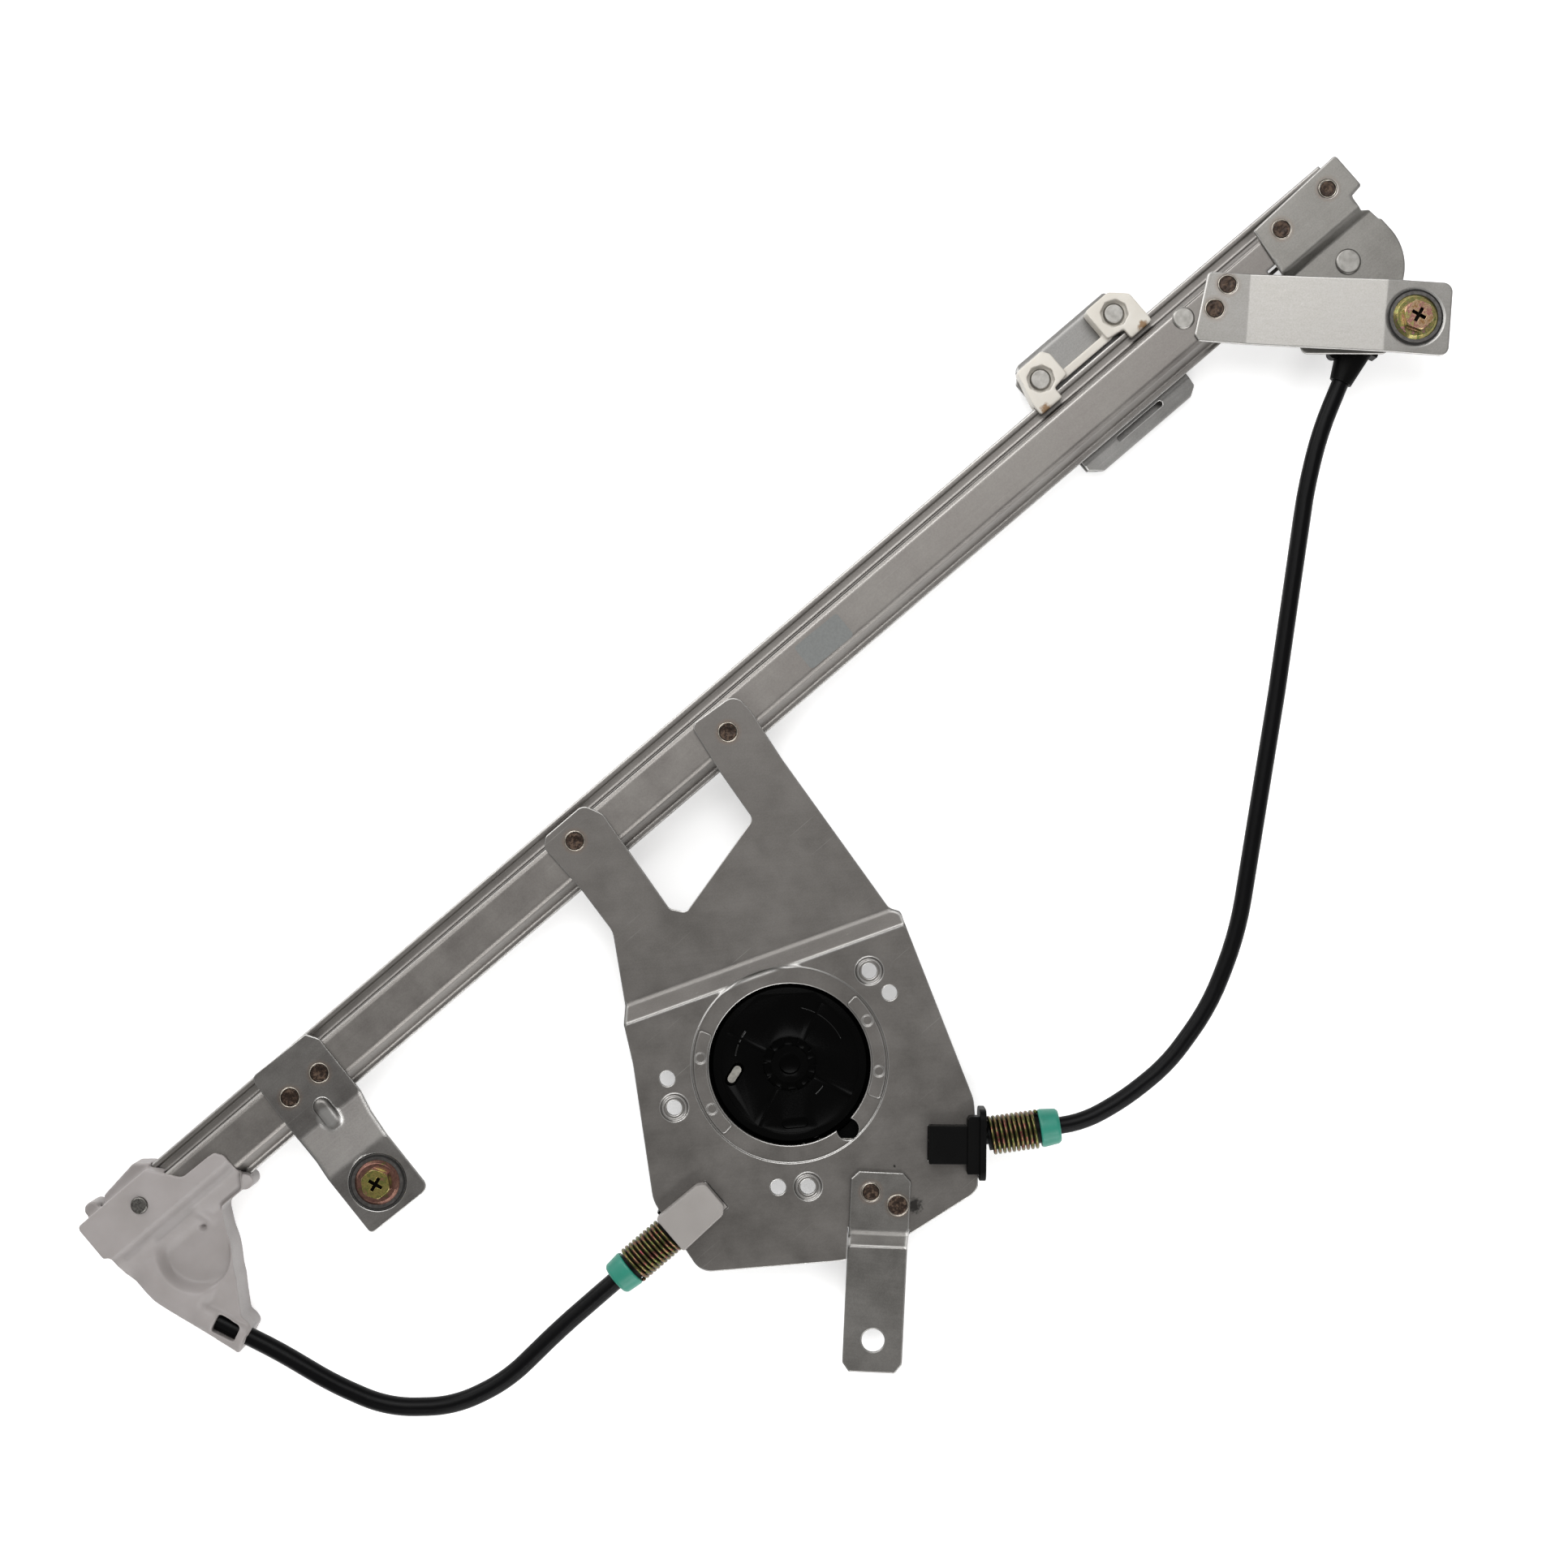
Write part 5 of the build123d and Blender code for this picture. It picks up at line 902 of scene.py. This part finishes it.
def lay_floor():
    """Plain pale floor. The camera sees it almost white, and it keeps the part's soft shadow."""
    floor = made(bpy.ops.mesh.primitive_plane_add, size=FLOOR_WIDTH * MM,
                 location=(VIEW_CENTRE[0] * MM, VIEW_CENTRE[1] * MM, FLOOR_LEVEL * MM))
    floor.name = "pale_floor"
    material, tree = new_material("pale_floor_paint")
    rays = add(tree, "ShaderNodeLightPath").outputs
    mirrored = calc(tree, "MAXIMUM", rays["Is Glossy Ray"], rays["Is Transmission Ray"])
    seen = calc(tree, "MAXIMUM", rays["Is Camera Ray"], mirrored)
    strength = calc(tree, "MULTIPLY", seen, FLOOR_GLOW)
    paint = add(tree, "ShaderNodeBsdfDiffuse", {"Color": linear("#F8F8F8")})
    glow = add(tree, "ShaderNodeEmission", {"Color": (1, 1, 1, 1), "Strength": strength})
    both = add(tree, "ShaderNodeAddShader", {0: paint.outputs[0], 1: glow.outputs[0]})
    add(tree, "ShaderNodeOutputMaterial", {"Surface": both.outputs[0]})
    recoat(floor, material)


def place_camera():
    """Camera straight above the part, turned so that the rail rises to the right."""
    data = bpy.data.cameras.new("copy_stand")
    data.sensor_width = SENSOR_WIDTH
    data.lens = SENSOR_WIDTH * CAMERA_DISTANCE / FIELD_WIDTH
    camera = bpy.data.objects.new("copy_stand", data)
    bpy.context.collection.objects.link(camera)
    camera.location = (VIEW_CENTRE[0] * MM, VIEW_CENTRE[1] * MM, (WEB_LEVEL + CAMERA_DISTANCE) * MM)
    camera.rotation_euler = (0, 0, -RAIL_TURN)
    bpy.context.scene.camera = camera


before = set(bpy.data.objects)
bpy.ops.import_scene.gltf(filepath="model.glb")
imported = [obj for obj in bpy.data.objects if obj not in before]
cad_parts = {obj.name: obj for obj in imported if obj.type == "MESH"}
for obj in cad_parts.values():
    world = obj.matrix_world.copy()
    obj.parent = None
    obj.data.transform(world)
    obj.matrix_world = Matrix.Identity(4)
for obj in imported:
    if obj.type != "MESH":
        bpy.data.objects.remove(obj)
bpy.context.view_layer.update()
bpy.context.scene.view_settings.view_transform = "Standard"
black_nylon = moulded_plastic("black_nylon", "#060606", "#030303", roughness=0.45, specular=0.08)
dress(black_nylon)
for node, width in SOFT_EDGES:
    soften(node, width)
soften("lower_conduit_cap", 0.6, tight=True)
soften("carriage_rivets", 0.2, body="carriage")
cut_hub_windows(soften("cable_drum", 0.2, body="drum", tight=True, even=False))
make_drum_arcs(moulded_plastic("black_acetal_polished", "#0A0A0A", "#060606", roughness=0.14, specular=0.5))
make_motor_rims(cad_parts["motor_plate"].material_slots[0].material)
thicken("lower_conduit", 0.5)
thicken("upper_conduit", 0.25)
mould("bottom_guide", 0.5, 9, "frame", shape_guide)
mould("slider_shoe", 0.35, 6, "carriage")
spring_wire = chromated_wire("yellow_chromate_wire")
for spring in SPRINGS:
    wind_spring(*spring, spring_wire)
    make_shade_sleeve(*spring, black_nylon)
make_welds()
make_screws()
make_washers()
make_label()
light_scene()
lay_floor()
place_camera()
